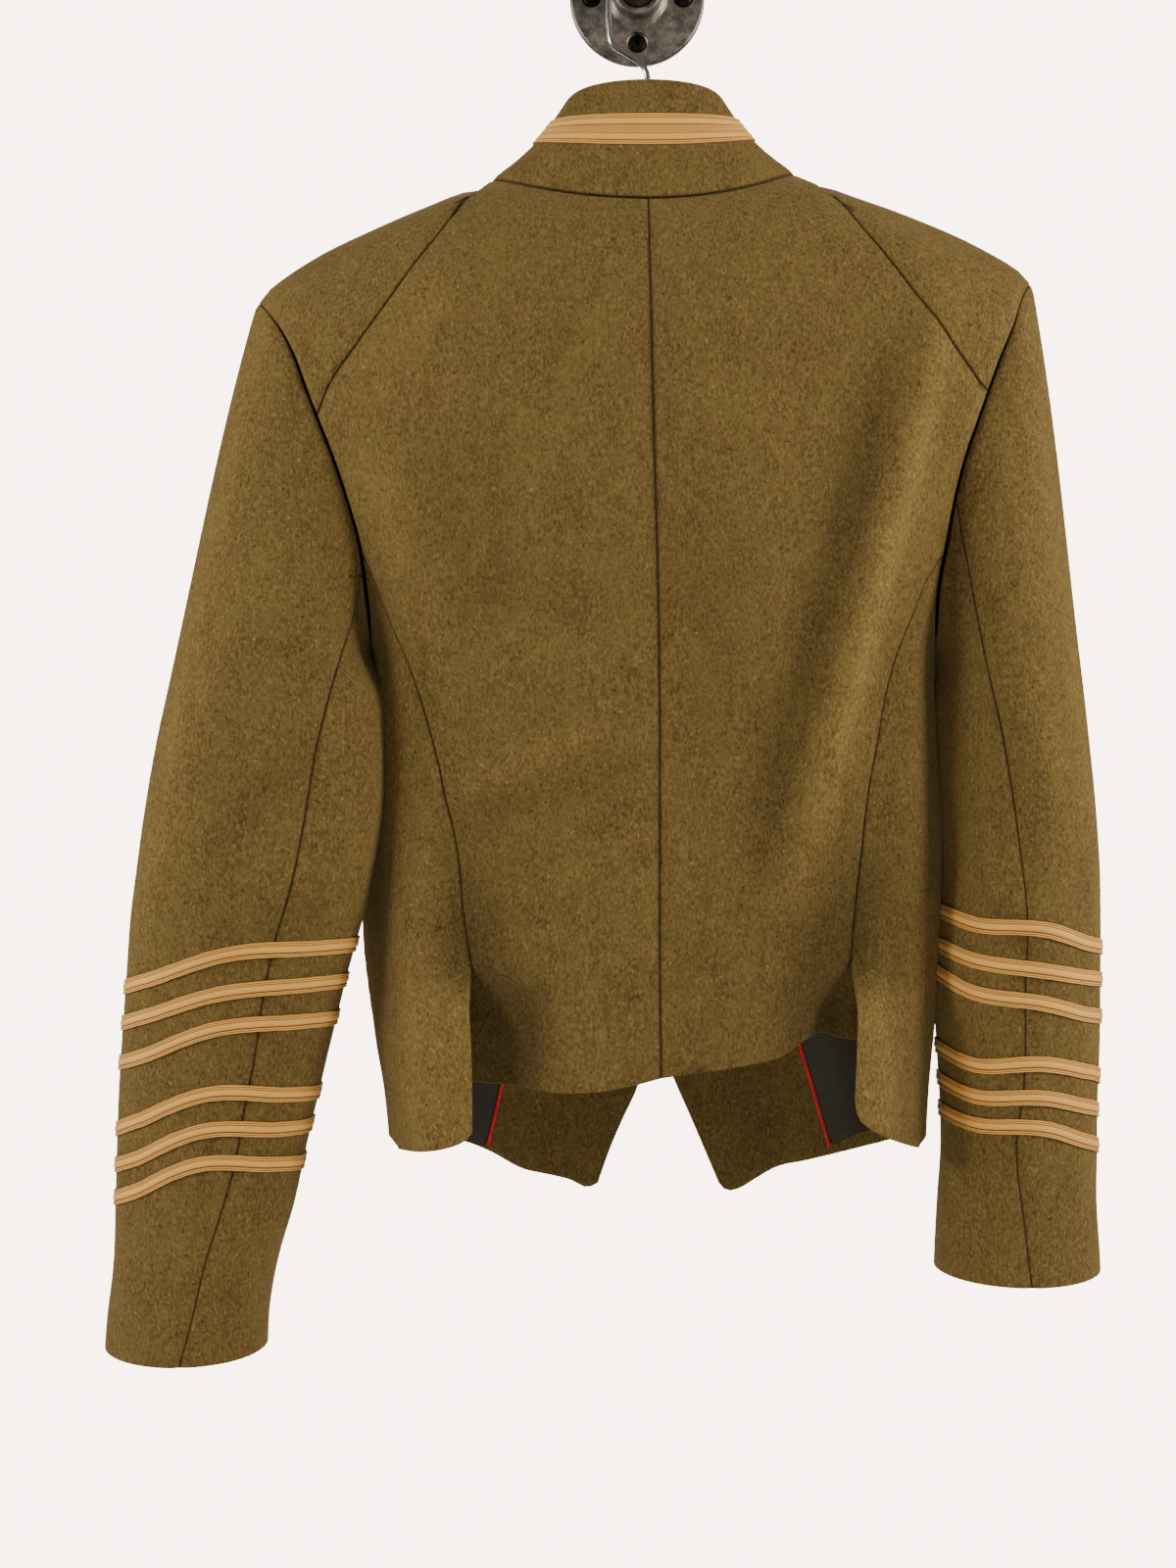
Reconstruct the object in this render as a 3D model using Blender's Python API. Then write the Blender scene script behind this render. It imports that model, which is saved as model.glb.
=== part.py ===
"""A short mess jacket seen from behind, on a hanger that hooks over an iron wall pipe.

The origin is the centre of the flange's back face, on the wall. The jacket's back faces -Y, the wall is
towards +Y, and the wearer's left is at -X. The tables are in millimetres, everything else is in metres.
"""

import math

import bpy
import numpy as np
from mathutils import Vector
from mathutils.geometry import delaunay_2d_cdt

MM = 0.001

# Cloth
WALL = 0.0022            # melton with its backing
SEAM_GAP = 0.0003        # between two cut pieces
FACING_WALL = 0.0016
LINING_WALL = 0.0012
LAID_GAP = 0.0008        # between a panel and what lies on its inside
BRAID_GAP = 0.0008       # between a panel and the braid on it
BRAID_WALL = 0.0013
BRAID_WIDTH = 0.0088
PIPING_RADIUS = 0.0012

# How full the body's sections are at the sides and across the back, 0 for a plain ellipse
SIDE_FULLNESS = 0.20
BACK_FULLNESS = 0.24

# A reference girth and the mesh size on the cloth
BODY_GIRTH = 0.95
SLEEVE_GIRTH = 0.36
BODY_MESH = (0.019, 0.031)
SLEEVE_MESH = (0.0165, 0.036)

# Wall fitting and hanger
FLANGE_RADIUS = 0.0445
HUB_RADIUS = 0.0148
HUB_HEIGHT = 0.0185
PIPE_RADIUS = 0.01065
PIPE_END = 0.1300        # from the wall
CAP_RADIUS = 0.0145
CAP_LENGTH = 0.024
SCREW_CIRCLE = 0.0300
WIRE_RADIUS = 0.0019
HOOK_RADIUS = 0.0193
HANG_DEPTH = 0.1050      # from the wall to the plane of the hanger
FIT = 0.0003             # clearance between metal pieces

LEFT, RIGHT = "left", "right"
SIDES = (LEFT, RIGHT)
TOWARDS = {LEFT: 1.0, RIGHT: -1.0}    # the sign of a turn about the body
OUTWARD = {LEFT: -1.0, RIGHT: 1.0}    # the sign of x


def table(names, rows):
    """A table's columns by name, in metres, from rows in millimetres."""
    columns = np.array(rows, float).T * MM
    return dict(zip(names.split(), columns))


# Body sections from the neck seam down: heights at the back, sides and front, then reach each way
RINGS = table(
    "back  side_left side_right front left right rear fore middle", [
    (-173, -150, -146, -222,  -93.0,  95.0, -160, -38,  3.0),
    (-190, -163, -158, -236, -124.0, 125.0, -167, -36,  3.2),
    (-213, -178, -171, -252, -160.0, 162.0, -173, -34,  3.5),
    (-238, -199, -190, -268, -203.0, 206.0, -177, -32,  4.0),
    (-262, -224, -212, -284, -235.5, 239.5, -179, -31,  4.5),
    (-310, -285, -275, -322, -229.0, 233.0, -181, -30,  5.5),
    (-360, -350, -345, -366, -203.0, 209.0, -183, -29,  7.0),
    (-430, -430, -430, -430, -166.0, 180.5, -184, -28,  8.5),
    (-480, -480, -480, -480, -164.5, 178.5, -184, -28,  9.0),
    (-540, -540, -540, -540, -166.0, 182.0, -184, -28,  9.0),
    (-612, -612, -612, -612, -169.5, 181.0, -183, -28,  9.0),
    (-660, -660, -660, -660, -164.5, 179.0, -182, -29,  9.5),
    (-705, -705, -705, -705, -158.0, 176.5, -181, -30, 10.0),
    (-745, -745, -745, -745, -154.0, 174.5, -180, -31, 10.0),
    (-800, -800, -800, -800, -150.0, 173.0, -180, -32, 10.0),
])
SIDE_DEPTH = -0.100      # where a section is widest

# Where the front panel's shoulder piece meets the back panel
DIAGONAL_SEAM = table("height left right", [
    (-165, -105.0, 116.0),
    (-185, -116.0, 127.5),
    (-212, -134.0, 147.0),
    (-238, -151.5, 165.5),
    (-262, -169.0, 183.0),
    (-286, -186.5, 203.0),
    (-301, -193.0, 213.0),
])
SHOULDER_CORNER = {LEFT: -0.301, RIGHT: -0.286}    # where it ends on the armhole

ARMHOLE = table("height left right", [
    (-200, -257.0, 251.0),
    (-212, -246.0, 239.5),
    (-224, -235.5, 230.5),
    (-247, -217.0, 221.0),
    (-264, -207.5, 213.5),
    (-284, -200.0, 206.0),
    (-302, -193.0, 199.5),
    (-323, -184.5, 192.0),
    (-351, -175.0, 185.0),
    (-377, -168.0, 181.0),
    (-400, -165.5, 177.5),
    (-415, -165.0, 177.5),
    (-430, -166.0, 180.5),
])
ARMHOLE_TOP = -0.262     # height at the back of the ring through the shoulder tips
ARMHOLE_FOOT = -0.430

SIDE_BACK_SEAM = table("height left right", [
    (-383, -166.8, 179.5),
    (-397, -160.5, 169.5),
    (-415, -153.5, 162.0),
    (-443, -141.0, 150.5),
    (-466, -132.5, 144.0),
    (-495, -123.5, 138.0),
    (-522, -117.0, 132.5),
    (-565, -109.0, 129.0),
    (-590, -107.5, 127.0),
    (-635, -102.0, 124.5),
    (-693,  -99.0, 122.0),
    (-725,  -99.0, 121.0),
])
SIDE_BACK_TOP = -0.383

SIDE_FRONT_SEAM = table("height left right", [
    (-400, -166.0, 178.0),
    (-430, -158.0, 171.0),
    (-520, -148.0, 163.0),
    (-620, -142.0, 158.0),
    (-760, -132.0, 152.0),
])
SIDE_FRONT_TOP = -0.400

# Front edges: they meet above and part towards their points
FRONT_EDGE = table("height left right", [
    (-640,   9.5,  9.5),
    (-672,   6.5,  9.5),
    (-717,  -1.0, 26.0),
    (-736, -10.0, 34.5),
    (-757, -19.0, 43.5),
    (-777, -26.0, 52.0),
])

# Hems, from the centre back outward and from the vent round to the front points
CENTRE_HEM = -0.690
BACK_HEM = {
    LEFT: [(-5, -694), (-28, -698), (-49, -699), (-82, -697), (-99, -697), (-113, -696)],
    RIGHT: [(39, -686), (64, -682), (79, -679), (91, -673), (101, -668), (109, -666), (122, -670),
            (136, -672)],
}
SIDE_HEM_BACK = {
    LEFT: [(-99, -722), (-103, -727), (-113, -732), (-129, -736), (-146, -738)],
    RIGHT: [(122, -706), (124, -714), (130, -720), (140, -726), (154, -732), (166, -737)],
}
SIDE_HEM_FRONT = {
    LEFT: [(-146, -741), (-132.8, -744)],
    RIGHT: [(166, -742), (152.6, -748)],
}
FRONT_HEM = {
    LEFT: [(-132.8, -744), (-108, -750), (-97, -755), (-73, -768), (-60, -771), (-44, -775), (-32, -780),
           (-26, -777)],
    RIGHT: [(152.6, -748), (138, -753), (107, -762), (90, -766), (76, -774), (64, -781), (57, -782), (52, -777)],
}

# The side panels lap over the back panel at its lower corners
LAP_TOP = -0.590
LAP_FULL = -0.660
LAP_OPEN = -0.622        # below here the back panel runs on under the side panel
LAP_WIDTH = 0.014
LAP_SINK = {LEFT: 0.0085, RIGHT: 0.0070}    # how far the back panel lies back at the lap
LAP_SPREAD = {LEFT: 0.046, RIGHT: 0.026}
LAP_LIFT = 0.0022        # how far the side panel's free edge stands off

# Soft folds on the body's outside, from one end to the other: x and height, then width and rise
BACK_FOLDS = [
    # x, height, x, height, width, rise
    (160, -318, 126, -500, 15, 3.2),
    (-150, -470, -141, -600, 11, -3.5),
    (108, -640, 112, -675, 9, 2.5),
]

# Sleeve sections from the upper arm to the cuff: outer and inner edge, middle depth, girth
SLEEVE_RINGS = {
    LEFT: table("height outer inner depth girth", [
        (-450, -280.5, -160.5, -138, 354),
        (-489, -288.0, -158.5, -146, 354),
        (-537, -296.2, -159.0, -148, 354),
        (-571, -301.0, -163.8, -147, 352),
        (-596, -305.0, -168.6, -143, 349),
        (-632, -309.5, -178.0, -134, 344),
        (-667, -313.2, -186.2, -128, 337),
        (-703, -316.5, -195.0, -122, 329),
        (-738, -318.5, -203.5, -118, 319),
        (-774, -320.0, -211.5, -115, 308),
        (-810, -321.5, -222.0, -113, 298),
        (-845, -326.0, -227.8, -111, 293),
        (-861, -327.2, -228.4, -111, 293),
    ]),
    RIGHT: table("height outer inner depth girth", [
        (-450, 265.8, 182.5, -113, 344),
        (-489, 268.7, 183.8, -116, 352),
        (-537, 272.6, 186.2, -118, 358),
        (-573, 274.8, 187.7, -118, 357),
        (-593, 275.3, 186.0, -118, 355),
        (-632, 275.9, 182.6, -117, 349),
        (-678, 276.4, 183.9, -115, 338),
        (-714, 276.4, 185.7, -112, 327),
        (-740, 277.0, 185.7, -111, 318),
        (-775, 277.6, 182.8, -110, 306),
        (-798, 279.4, 181.0, -110, 298),
        (-814, 280.4, 180.0, -110, 297),
    ]),
}
CUFF = {LEFT: -0.861, RIGHT: -0.814}
SLEEVE_TOP = {LEFT: -0.224, RIGHT: -0.212}
UPPER_ARM = -0.475
CAP_ROLL = 0.06          # how far the sleeve head rounds out from the armhole
UNDERARM_ROLL = 0.35     # and how far it stands off the body below it
SET_IN = 0.0006          # the sleeve starts this far outside the armhole
SEAM_TURN = 0.028        # how far from the armhole the sleeve's wall follows the body's
CUFF_DIP = 0.004         # the cuff hangs lower at its back

ELBOW_SEAM = {
    LEFT: table("height x", [
        (-383, -166.5), (-402, -168.0), (-444, -176.8), (-492, -187.8), (-546, -197.5), (-582, -205.6),
        (-610, -214.2), (-632, -220.0), (-685, -229.2), (-714, -235.5), (-743, -240.7), (-771, -248.7),
        (-800, -257.9), (-833, -266.0), (-866, -275.0),
    ]),
    RIGHT: table("height x", [
        (-345, 185.0), (-361, 186.6), (-393, 191.8), (-447, 200.4), (-502, 209.6), (-550, 216.5), (-599, 222.0),
        (-636, 221.5), (-698, 221.8), (-731, 219.0), (-751, 220.5), (-773, 224.0), (-825, 231.5),
    ]),
}
ELBOW_TOP = {LEFT: -0.396, RIGHT: -0.352}    # where it starts on the armhole
FRONT_SEAM_TURN = (0.665, 0.640)    # of the sleeve's front seam, at the armhole and at the cuff

# The collar's top edge: x, depth and height at its back, sides and front
COLLAR_TOP = {
    "middle": 0.0030, LEFT: -0.0480, RIGHT: 0.0520, "rear": -0.1500, "fore": -0.0640,
    "back": -0.1000, "side": -0.1055, "front": -0.1580,
}
COLLAR_HEIGHT = 0.073
COLLAR_HOLLOW = 0.0040   # how far its sides curve in between the two edges
COLLAR_LIFT = 0.0004     # above the neck seam
COLLAR_MESH = (0.016, 0.016)

# The collar's two braids lie side by side: the lowest and highest line of the pair round the collar
COLLAR_BRAIDS = table("lower upper", [(31.5, 50.5), (41.0, 62.0), (41.0, 62.0)])
COLLAR_BRAID_TURNS = (0.0, 0.25, 0.5)
COLLAR_STEPS = 64

# Height of each sleeve braid's middle at the outer edge, then every eighth of a turn to the inner edge
SLEEVE_BRAIDS = {
    LEFT: table("outer back_outer back back_inner inner", [
        (-641, -634, -618, -615, -614),
        (-663, -656, -641, -637, -636),
        (-687, -680, -662, -659, -659),
        (-728, -719, -701, -703, -705),
        (-750, -742, -723, -724, -725),
        (-770, -762, -743, -745, -748),
    ]),
    RIGHT: table("outer back_outer back back_inner inner", [
        (-618, -613, -603, -602, -596),
        (-637, -633, -627, -623, -616),
        (-659, -655, -646, -642, -632),
        (-697, -689, -682, -685, -678),
        (-717, -710, -702, -704, -698),
        (-739, -731, -720, -721, -717),
    ]),
}
BRAID_STEPS = 32

# Inside the fronts, where the back hem lets them show
PIPING_LINE = table("height left right", [
    (-600, -63.0, 79.0),
    (-692, -84.0, 106.0),
    (-719, -90.0, 114.0),
    (-750, -97.5, 123.0),
    (-762, -100.5, 127.0),
])
INSIDE_TOP = -0.605
EDGE_MARGIN = 0.002      # facing and lining stop short of the edges
LINING_HEM = {LEFT: [(-100.3, -752), (-131, -741)], RIGHT: [(126, -750.5), (134, -746.5), (147, -739)]}

# Hanger arms follow the shoulders between two rings, and rise to the hook in the middle
ARM_RINGS = (-0.192, -0.240)
ARM_THICKNESS = 0.0075   # half, front to back
ARM_HEIGHT = 0.0120      # half
ARM_CLEARANCE = {LEFT: 0.0038, RIGHT: 0.0034}    # below the shoulder's inside
HANGER_MIDDLE = [(-50, -160), (0, -152), (50, -158)]
HOOK_CENTRE = -0.0064
HOOK_TIP_ANGLE = -32.0
HOOK_STEM = [(-19.3, -30.0), (-19.3, -54.0), (-17.6, -64.0), (-8.6, -70.4), (-1.6, -75.0), (3.0, -81.0),
             (4.2, -89.0), (4.2, -110.0)]

COLOURS = {
    "melton": (0.130, 0.098, 0.028), "braid": (0.560, 0.325, 0.105), "piping": (0.620, 0.020, 0.016),
    "lining": (0.030, 0.026, 0.012), "iron": (0.070, 0.066, 0.062), "steel": (0.620, 0.620, 0.620),
    "black_steel": (0.030, 0.030, 0.030), "wood": (0.330, 0.190, 0.090),
}


def material(name, roughness, metallic=0.0):
    """A Principled material in one of the named colours."""
    made = bpy.data.materials.get(name) or bpy.data.materials.new(name)
    made.use_nodes = True
    shader = made.node_tree.nodes["Principled BSDF"]
    shader.inputs["Base Color"].default_value = (*COLOURS[name], 1.0)
    shader.inputs["Roughness"].default_value = roughness
    shader.inputs["Metallic"].default_value = metallic
    return made


def add_object(name, vertices, faces, finish):
    """A mesh object with its faces turned outwards."""
    mesh = bpy.data.meshes.new(name)
    points = np.asarray(vertices, float)
    mesh.from_pydata(points.tolist(), [], [list(face) for face in faces])
    mesh.update()
    mesh.calc_loop_triangles()
    corners = np.array([tuple(triangle.vertices) for triangle in mesh.loop_triangles])
    a, b, c = points[corners[:, 0]], points[corners[:, 1]], points[corners[:, 2]]
    if np.einsum("ij,ij->", a, np.cross(b, c)) < 0:
        mesh.flip_normals()
    mesh.shade_smooth()
    mesh.set_sharp_from_angle(angle=math.radians(40))
    mesh.materials.append(finish)
    made = bpy.data.objects.new(name, mesh)
    bpy.context.scene.collection.objects.link(made)
    return made


def spline(knots, values, at):
    """A smooth curve through the values, its slope at each knot taken from the neighbours."""
    order = np.argsort(knots)
    knots, values = np.asarray(knots)[order], np.asarray(values)[order]
    slopes = np.gradient(values, knots)
    at = np.clip(at, knots[0], knots[-1])
    i = np.clip(np.searchsorted(knots, at) - 1, 0, len(knots) - 2)
    step = knots[i + 1] - knots[i]
    f = (at - knots[i]) / step
    start = (1 + 2 * f) * (1 - f) ** 2 * values[i] + f * (1 - f) ** 2 * step * slopes[i]
    end = f ** 2 * (3 - 2 * f) * values[i + 1] - f ** 2 * (1 - f) * step * slopes[i + 1]
    return start + end


def ease(f):
    """A smooth step from 0 to 1."""
    f = np.clip(f, 0.0, 1.0)
    return f * f * (3 - 2 * f)


def unit(vectors):
    return vectors / np.linalg.norm(vectors, axis=-1, keepdims=True)


def root(function, low, high, rounds=26):
    """Where an increasing function crosses zero between low and high, by halving."""
    low, high = np.array(low, float), np.array(high, float)
    for _ in range(rounds):
        middle = (low + high) / 2
        below = function(middle) < 0
        low = np.where(below, middle, low)
        high = np.where(below, high, middle)
    return (low + high) / 2


def normals(surface, first, second, reach=2e-4):
    """Outward unit normals of a surface whose two parameters run clockwise from above and upwards."""
    across = surface(first + reach, second) - surface(first - reach, second)
    up = surface(first, second + reach) - surface(first, second - reach)
    return unit(np.cross(up, across))


# Body

def section(height):
    """The table of body sections, read at any heights."""
    return {name: spline(RINGS["back"], column, height) for name, column in RINGS.items()}


def torso(turn, height, at=None):
    """Points of the body's form. Turn 0 is the centre back, 0.25 the left side, 0.5 the centre front."""
    turn, height = np.broadcast_arrays(np.asarray(turn, float), np.asarray(height, float))
    at = at or section(height)
    sine, cosine = np.sin(2 * math.pi * turn), np.cos(2 * math.pi * turn)
    on_left, on_back = sine > 0, cosine > 0
    reach = np.where(on_left, at["middle"] - at[LEFT], at[RIGHT] - at["middle"])
    depth = np.where(on_back, SIDE_DEPTH - at["rear"], at["fore"] - SIDE_DEPTH)
    x = at["middle"] - reach * sine * (1 + SIDE_FULLNESS * cosine ** 2)
    y = SIDE_DEPTH - depth * cosine * (1 + BACK_FULLNESS * sine ** 2)
    middle_z = np.where(on_back, at["back"], at["front"])
    side_z = np.where(on_left, at["side_left"], at["side_right"])
    z = middle_z + (side_z - middle_z) * sine ** 2
    return np.stack([x, y, z], axis=-1)


def seam_x(seam, side, height):
    return spline(seam["height"], seam[side], height)


def fold_relief(points):
    """How far the soft folds raise the back at these points."""
    x, z = points[..., 0], points[..., 2]
    raised = np.zeros(x.shape)
    for x0, z0, x1, z1, width, rise in BACK_FOLDS:
        start, run = np.array([x0, z0]) * MM, np.array([x1 - x0, z1 - z0]) * MM
        along = ((x - start[0]) * run[0] + (z - start[1]) * run[1]) / (run @ run)
        across = ((x - start[0]) * run[1] - (z - start[1]) * run[0]) / np.linalg.norm(run)
        taper = ease((along + 0.25) / 0.5) * ease((1.25 - along) / 0.5)
        raised += rise * MM * taper * np.exp(-(across / (width * MM)) ** 2)
    return np.where(points[..., 1] < SIDE_DEPTH, raised, 0.0)


def lap(points, side, spread):
    """How much of the vent's lap is felt at these points, from 0 to 1."""
    x, z = points[..., 0], points[..., 2]
    away = (x - seam_x(SIDE_BACK_SEAM, side, z)) / spread
    return ease((LAP_TOP - z) / (LAP_TOP - LAP_FULL)) * np.exp(-away ** 2) * (points[..., 1] < SIDE_DEPTH)


def cloth(kind, side):
    """The outside of a body panel: the body's form with its folds and its part of the lap."""
    def surface(turn, height):
        points = torso(turn, height)
        rise = fold_relief(points)
        if kind == "back":
            rise = rise - LAP_SINK[side] * lap(points, side, LAP_SPREAD[side])
        if kind == "side":
            rise = rise + LAP_LIFT * lap(points, side, LAP_SPREAD[side] / 2)
        return points + normals(torso, turn, height) * rise[..., None]
    return surface


def locate(x, z, side, front=False):
    """The turn and ring height of body points, from their x and real height."""
    x, z = np.asarray(x, float), np.asarray(z, float)
    sign = TOWARDS[side]
    low, high = (0.25, 0.5) if front else (0.0, 0.25)
    height = z.copy()
    for _ in range(9):
        at = section(height)

        def miss(turn):
            return (torso(sign * turn, height, at)[..., 0] - x) * (sign if front else -sign)
        turn = root(miss, np.full(x.shape, low), np.full(x.shape, high))
        height = height + z - torso(sign * turn, height, at)[..., 2]
    return np.stack([sign * turn, height], axis=-1)


def armhole(angle, side):
    """Turn and ring height on the armhole. Angle 0 is the shoulder tip, pi/2 the back, pi the underarm."""
    angle = np.asarray(angle, float)
    sign = TOWARDS[side]
    middle, half = (ARMHOLE_TOP + ARMHOLE_FOOT) / 2, (ARMHOLE_TOP - ARMHOLE_FOOT) / 2
    height = middle + half * np.cos(angle)
    on_back = np.sin(angle) >= 0
    at = section(height)

    def miss(from_side):
        turn = np.where(on_back, 0.25 - from_side, 0.25 + from_side)
        points = torso(sign * turn, height, at)
        return (seam_x(ARMHOLE, side, points[..., 2]) - points[..., 0]) * OUTWARD[side]
    from_side = root(miss, np.zeros(angle.shape), np.full(angle.shape, 0.2))
    turn = np.where(on_back, 0.25 - from_side, 0.25 + from_side)
    return np.stack([sign * turn, height], axis=-1)


def armhole_angle(z, side, front=False):
    """The angle on the armhole at a real height."""
    def miss(angle):
        place = armhole(2 * math.pi - angle if front else angle, side)
        return z - torso(place[..., 0], place[..., 1])[..., 2]
    angle = root(miss, 0.05, math.pi)
    return float(2 * math.pi - angle if front else angle)


def arc(start, end, step=0.26):
    """Angles from start to end, evenly spread."""
    return np.linspace(start, end, max(2, round(abs(end - start) / step) + 1))


def armhole_stops(side):
    """The angles on the armhole where a seam meets it, by name."""
    return {
        "corner": armhole_angle(SHOULDER_CORNER[side], side),
        "vent": armhole_angle(SIDE_BACK_TOP, side),
        "split": armhole_angle(SIDE_FRONT_TOP, side, front=True),
        "elbow": armhole_angle(ELBOW_TOP[side], side),
        "front": 2 * math.pi * FRONT_SEAM_TURN[0],
    }


def armhole_angles(side, start, end):
    """The armhole's angles from start to end. Body and sleeve share them, so that their edges agree."""
    stops = sorted([0.0, *armhole_stops(side).values(), 2 * math.pi])
    shared = np.concatenate([arc(a, b, 0.23)[:-1] for a, b in zip(stops, stops[1:])])
    turns = np.concatenate([shared - 2 * math.pi, shared, shared + 2 * math.pi])
    low, high = min(start, end) - 1e-6, max(start, end) + 1e-6
    chosen = turns[(turns > low) & (turns < high)]
    return chosen if end > start else chosen[::-1]


def drop(start, end, step=0.030):
    """Heights from start down or up to end, evenly spread."""
    return np.linspace(start, end, max(2, round(abs(end - start) / step) + 1))


def seam(table_, side, heights, front=False):
    return locate(seam_x(table_, side, heights), heights, side, front)


def hem(points, side, front=False):
    xz = np.array(points, float) * MM
    return locate(xz[:, 0], xz[:, 1], side, front)


def joined(*parts):
    """One outline from stretches that share their end points."""
    out = [parts[0]]
    for part in parts[1:]:
        skip = np.linalg.norm(part[0] - out[-1][-1]) < 1e-4
        out.append(part[1:] if skip else part)
    outline = np.concatenate(out)
    closed = np.linalg.norm(outline[0] - outline[-1]) < 1e-4
    return outline[:-1] if closed else outline


def inset(outline, gap):
    """A closed outline moved inwards by gap, corners kept sharp."""
    before, after = np.roll(outline, 1, axis=0), np.roll(outline, -1, axis=0)
    area = np.sum(before[:, 0] * outline[:, 1] - outline[:, 0] * before[:, 1])
    turn = 1.0 if area > 0 else -1.0
    first, second = unit(outline - before), unit(after - outline)
    left_of = lambda run: turn * np.stack([-run[:, 1], run[:, 0]], axis=-1)
    bisector = unit(left_of(first) + left_of(second))
    stretch = np.maximum(np.sum(bisector * left_of(first), axis=1), 0.35)
    return outline + bisector * (gap / stretch)[:, None]


def inside(points, outline):
    """Which points lie in a closed outline."""
    found = np.zeros(len(points), bool)
    for (x0, y0), (x1, y1) in zip(outline, np.roll(outline, -1, axis=0)):
        crosses = (y0 > points[:, 1]) != (y1 > points[:, 1])
        with np.errstate(divide="ignore", invalid="ignore"):
            at = x0 + (points[:, 1] - y0) * (x1 - x0) / (y1 - y0)
        found ^= crosses & (points[:, 0] < at)
    return found


def edge_distance(points, outline):
    """Each point's distance to a closed outline."""
    nearest = np.full(len(points), np.inf)
    for start, end in zip(outline, np.roll(outline, -1, axis=0)):
        run = end - start
        f = np.clip((points - start) @ run / (run @ run), 0, 1)
        nearest = np.minimum(nearest, np.linalg.norm(points - start - f[:, None] * run, axis=1))
    return nearest


def cut_pattern(outline, mesh_size):
    """Triangles over a flat outline: its own points and a grid inside it."""
    scaled = outline / mesh_size
    low, high = scaled.min(axis=0), scaled.max(axis=0)
    steps = [np.arange(math.floor(l), math.ceil(h) + 1) for l, h in zip(low, high)]
    grid = np.stack(np.meshgrid(*steps), axis=-1).reshape(-1, 2).astype(float)
    grid[:, 0] += 0.5 * (np.round(grid[:, 1]) % 2)
    grid = grid[inside(grid, scaled)]
    grid = grid[edge_distance(grid, scaled) > 0.5]
    points = [Vector(p) for p in np.concatenate([scaled, grid]).tolist()]
    found, _, faces, *_ = delaunay_2d_cdt(points, [], [list(range(len(scaled)))], 1, 1e-7)
    return np.array([tuple(p) for p in found]) * mesh_size, np.array([tuple(f) for f in faces])


def rim_edges(faces):
    """Edges that belong to one triangle only, in that triangle's direction."""
    edges = np.concatenate([faces[:, [0, 1]], faces[:, [1, 2]], faces[:, [2, 0]]])
    keys = {(int(a), int(b)) for a, b in edges}
    return [(a, b) for a, b in keys if (b, a) not in keys]


def cut_piece(name, outline, surface, mesh_size, girth, wall, finish, outset=0.0, direction=None):
    """A cut piece: its outline on the pattern, laid on a surface, with a wall's thickness inwards."""
    scale = np.array([girth, 1.0])
    flat, faces = cut_pattern(inset(outline * scale, SEAM_GAP / 2), np.array(mesh_size))
    first, second = (flat / scale).T
    outer = surface(first, second)
    away = (direction or (lambda a, b: normals(surface, a, b)))(first, second)
    vertices = np.concatenate([outer + away * outset, outer + away * (outset - wall)])
    count = len(outer)
    rim = [(b, a, a + count, b + count) for a, b in rim_edges(faces)]
    sides = faces.tolist() + (faces[:, ::-1] + count).tolist() + rim
    return add_object(name, vertices, sides, finish)


def vertical(turn, heights):
    return np.stack([np.full(len(heights), turn), heights], axis=-1)


def neck(start, end, count):
    turns = np.linspace(start, end, count)
    return np.stack([turns, np.full(count, RINGS["back"][0])], axis=-1)


def body_lines(side):
    """The seams and edges of one half of the body, each from top to bottom or from back to front."""
    sign = TOWARDS[side]
    top = RINGS["back"][0]
    stops = armhole_stops(side)
    corner, vent, split = stops["corner"], stops["vent"], stops["split"]
    diagonal_heights = np.array([h for h in DIAGONAL_SEAM["height"] if h > SHOULDER_CORNER[side] + 0.004])
    corner_place = armhole(corner, side)[None]
    seam_start = np.array([[sign * 0.25, top]])
    diagonal = np.concatenate([seam_start, seam(DIAGONAL_SEAM, side, diagonal_heights), corner_place])
    back_hem = hem(BACK_HEM[side], side)
    side_hem = np.concatenate([hem(SIDE_HEM_BACK[side], side), hem(SIDE_HEM_FRONT[side], side, front=True)])
    front_hem = hem(FRONT_HEM[side], side, front=True)
    vent_heights = drop(SIDE_BACK_TOP - 0.014, LAP_OPEN, 0.026)
    vent_place = armhole(vent, side)[None]
    side_back = np.concatenate([vent_place, seam(SIDE_BACK_SEAM, side, vent_heights)])
    free_edge = seam(SIDE_BACK_SEAM, side, drop(LAP_OPEN, side_hem[0, 1] + 0.012, 0.022))
    under_heights = drop(LAP_OPEN - 0.020, back_hem[-1, 1], 0.024)
    under_x = seam_x(SIDE_BACK_SEAM, side, under_heights) + OUTWARD[side] * LAP_WIDTH
    under_edge = locate(under_x, under_heights, side)
    split_place = armhole(split, side)[None]
    side_front = np.concatenate([
        split_place, seam(SIDE_FRONT_SEAM, side, drop(SIDE_FRONT_TOP - 0.022, side_hem[-1, 1], 0.030), True)])
    side_front[-1] = side_hem[-1]
    edge_heights = np.array([-0.672, -0.695, -0.717, -0.737, -0.757])
    front_edge = np.concatenate([
        vertical(sign * 0.5, drop(top, FRONT_EDGE["height"][0], 0.030)),
        seam(FRONT_EDGE, side, edge_heights, True)])
    return {
        "centre": vertical(0.0, drop(top, CENTRE_HEM, 0.030)),
        "diagonal": diagonal, "side_back": side_back, "free_edge": free_edge, "under_edge": under_edge,
        "side_front": side_front, "front_edge": front_edge,
        "back_hem": back_hem[:-1], "side_hem": side_hem, "front_hem": front_hem,
        "armhole_back": armhole(armhole_angles(side, corner, vent), side),
        "armhole_foot": armhole(armhole_angles(side, vent, split), side),
        "armhole_over": armhole(armhole_angles(side, corner, split - 2 * math.pi), side),
    }


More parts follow.
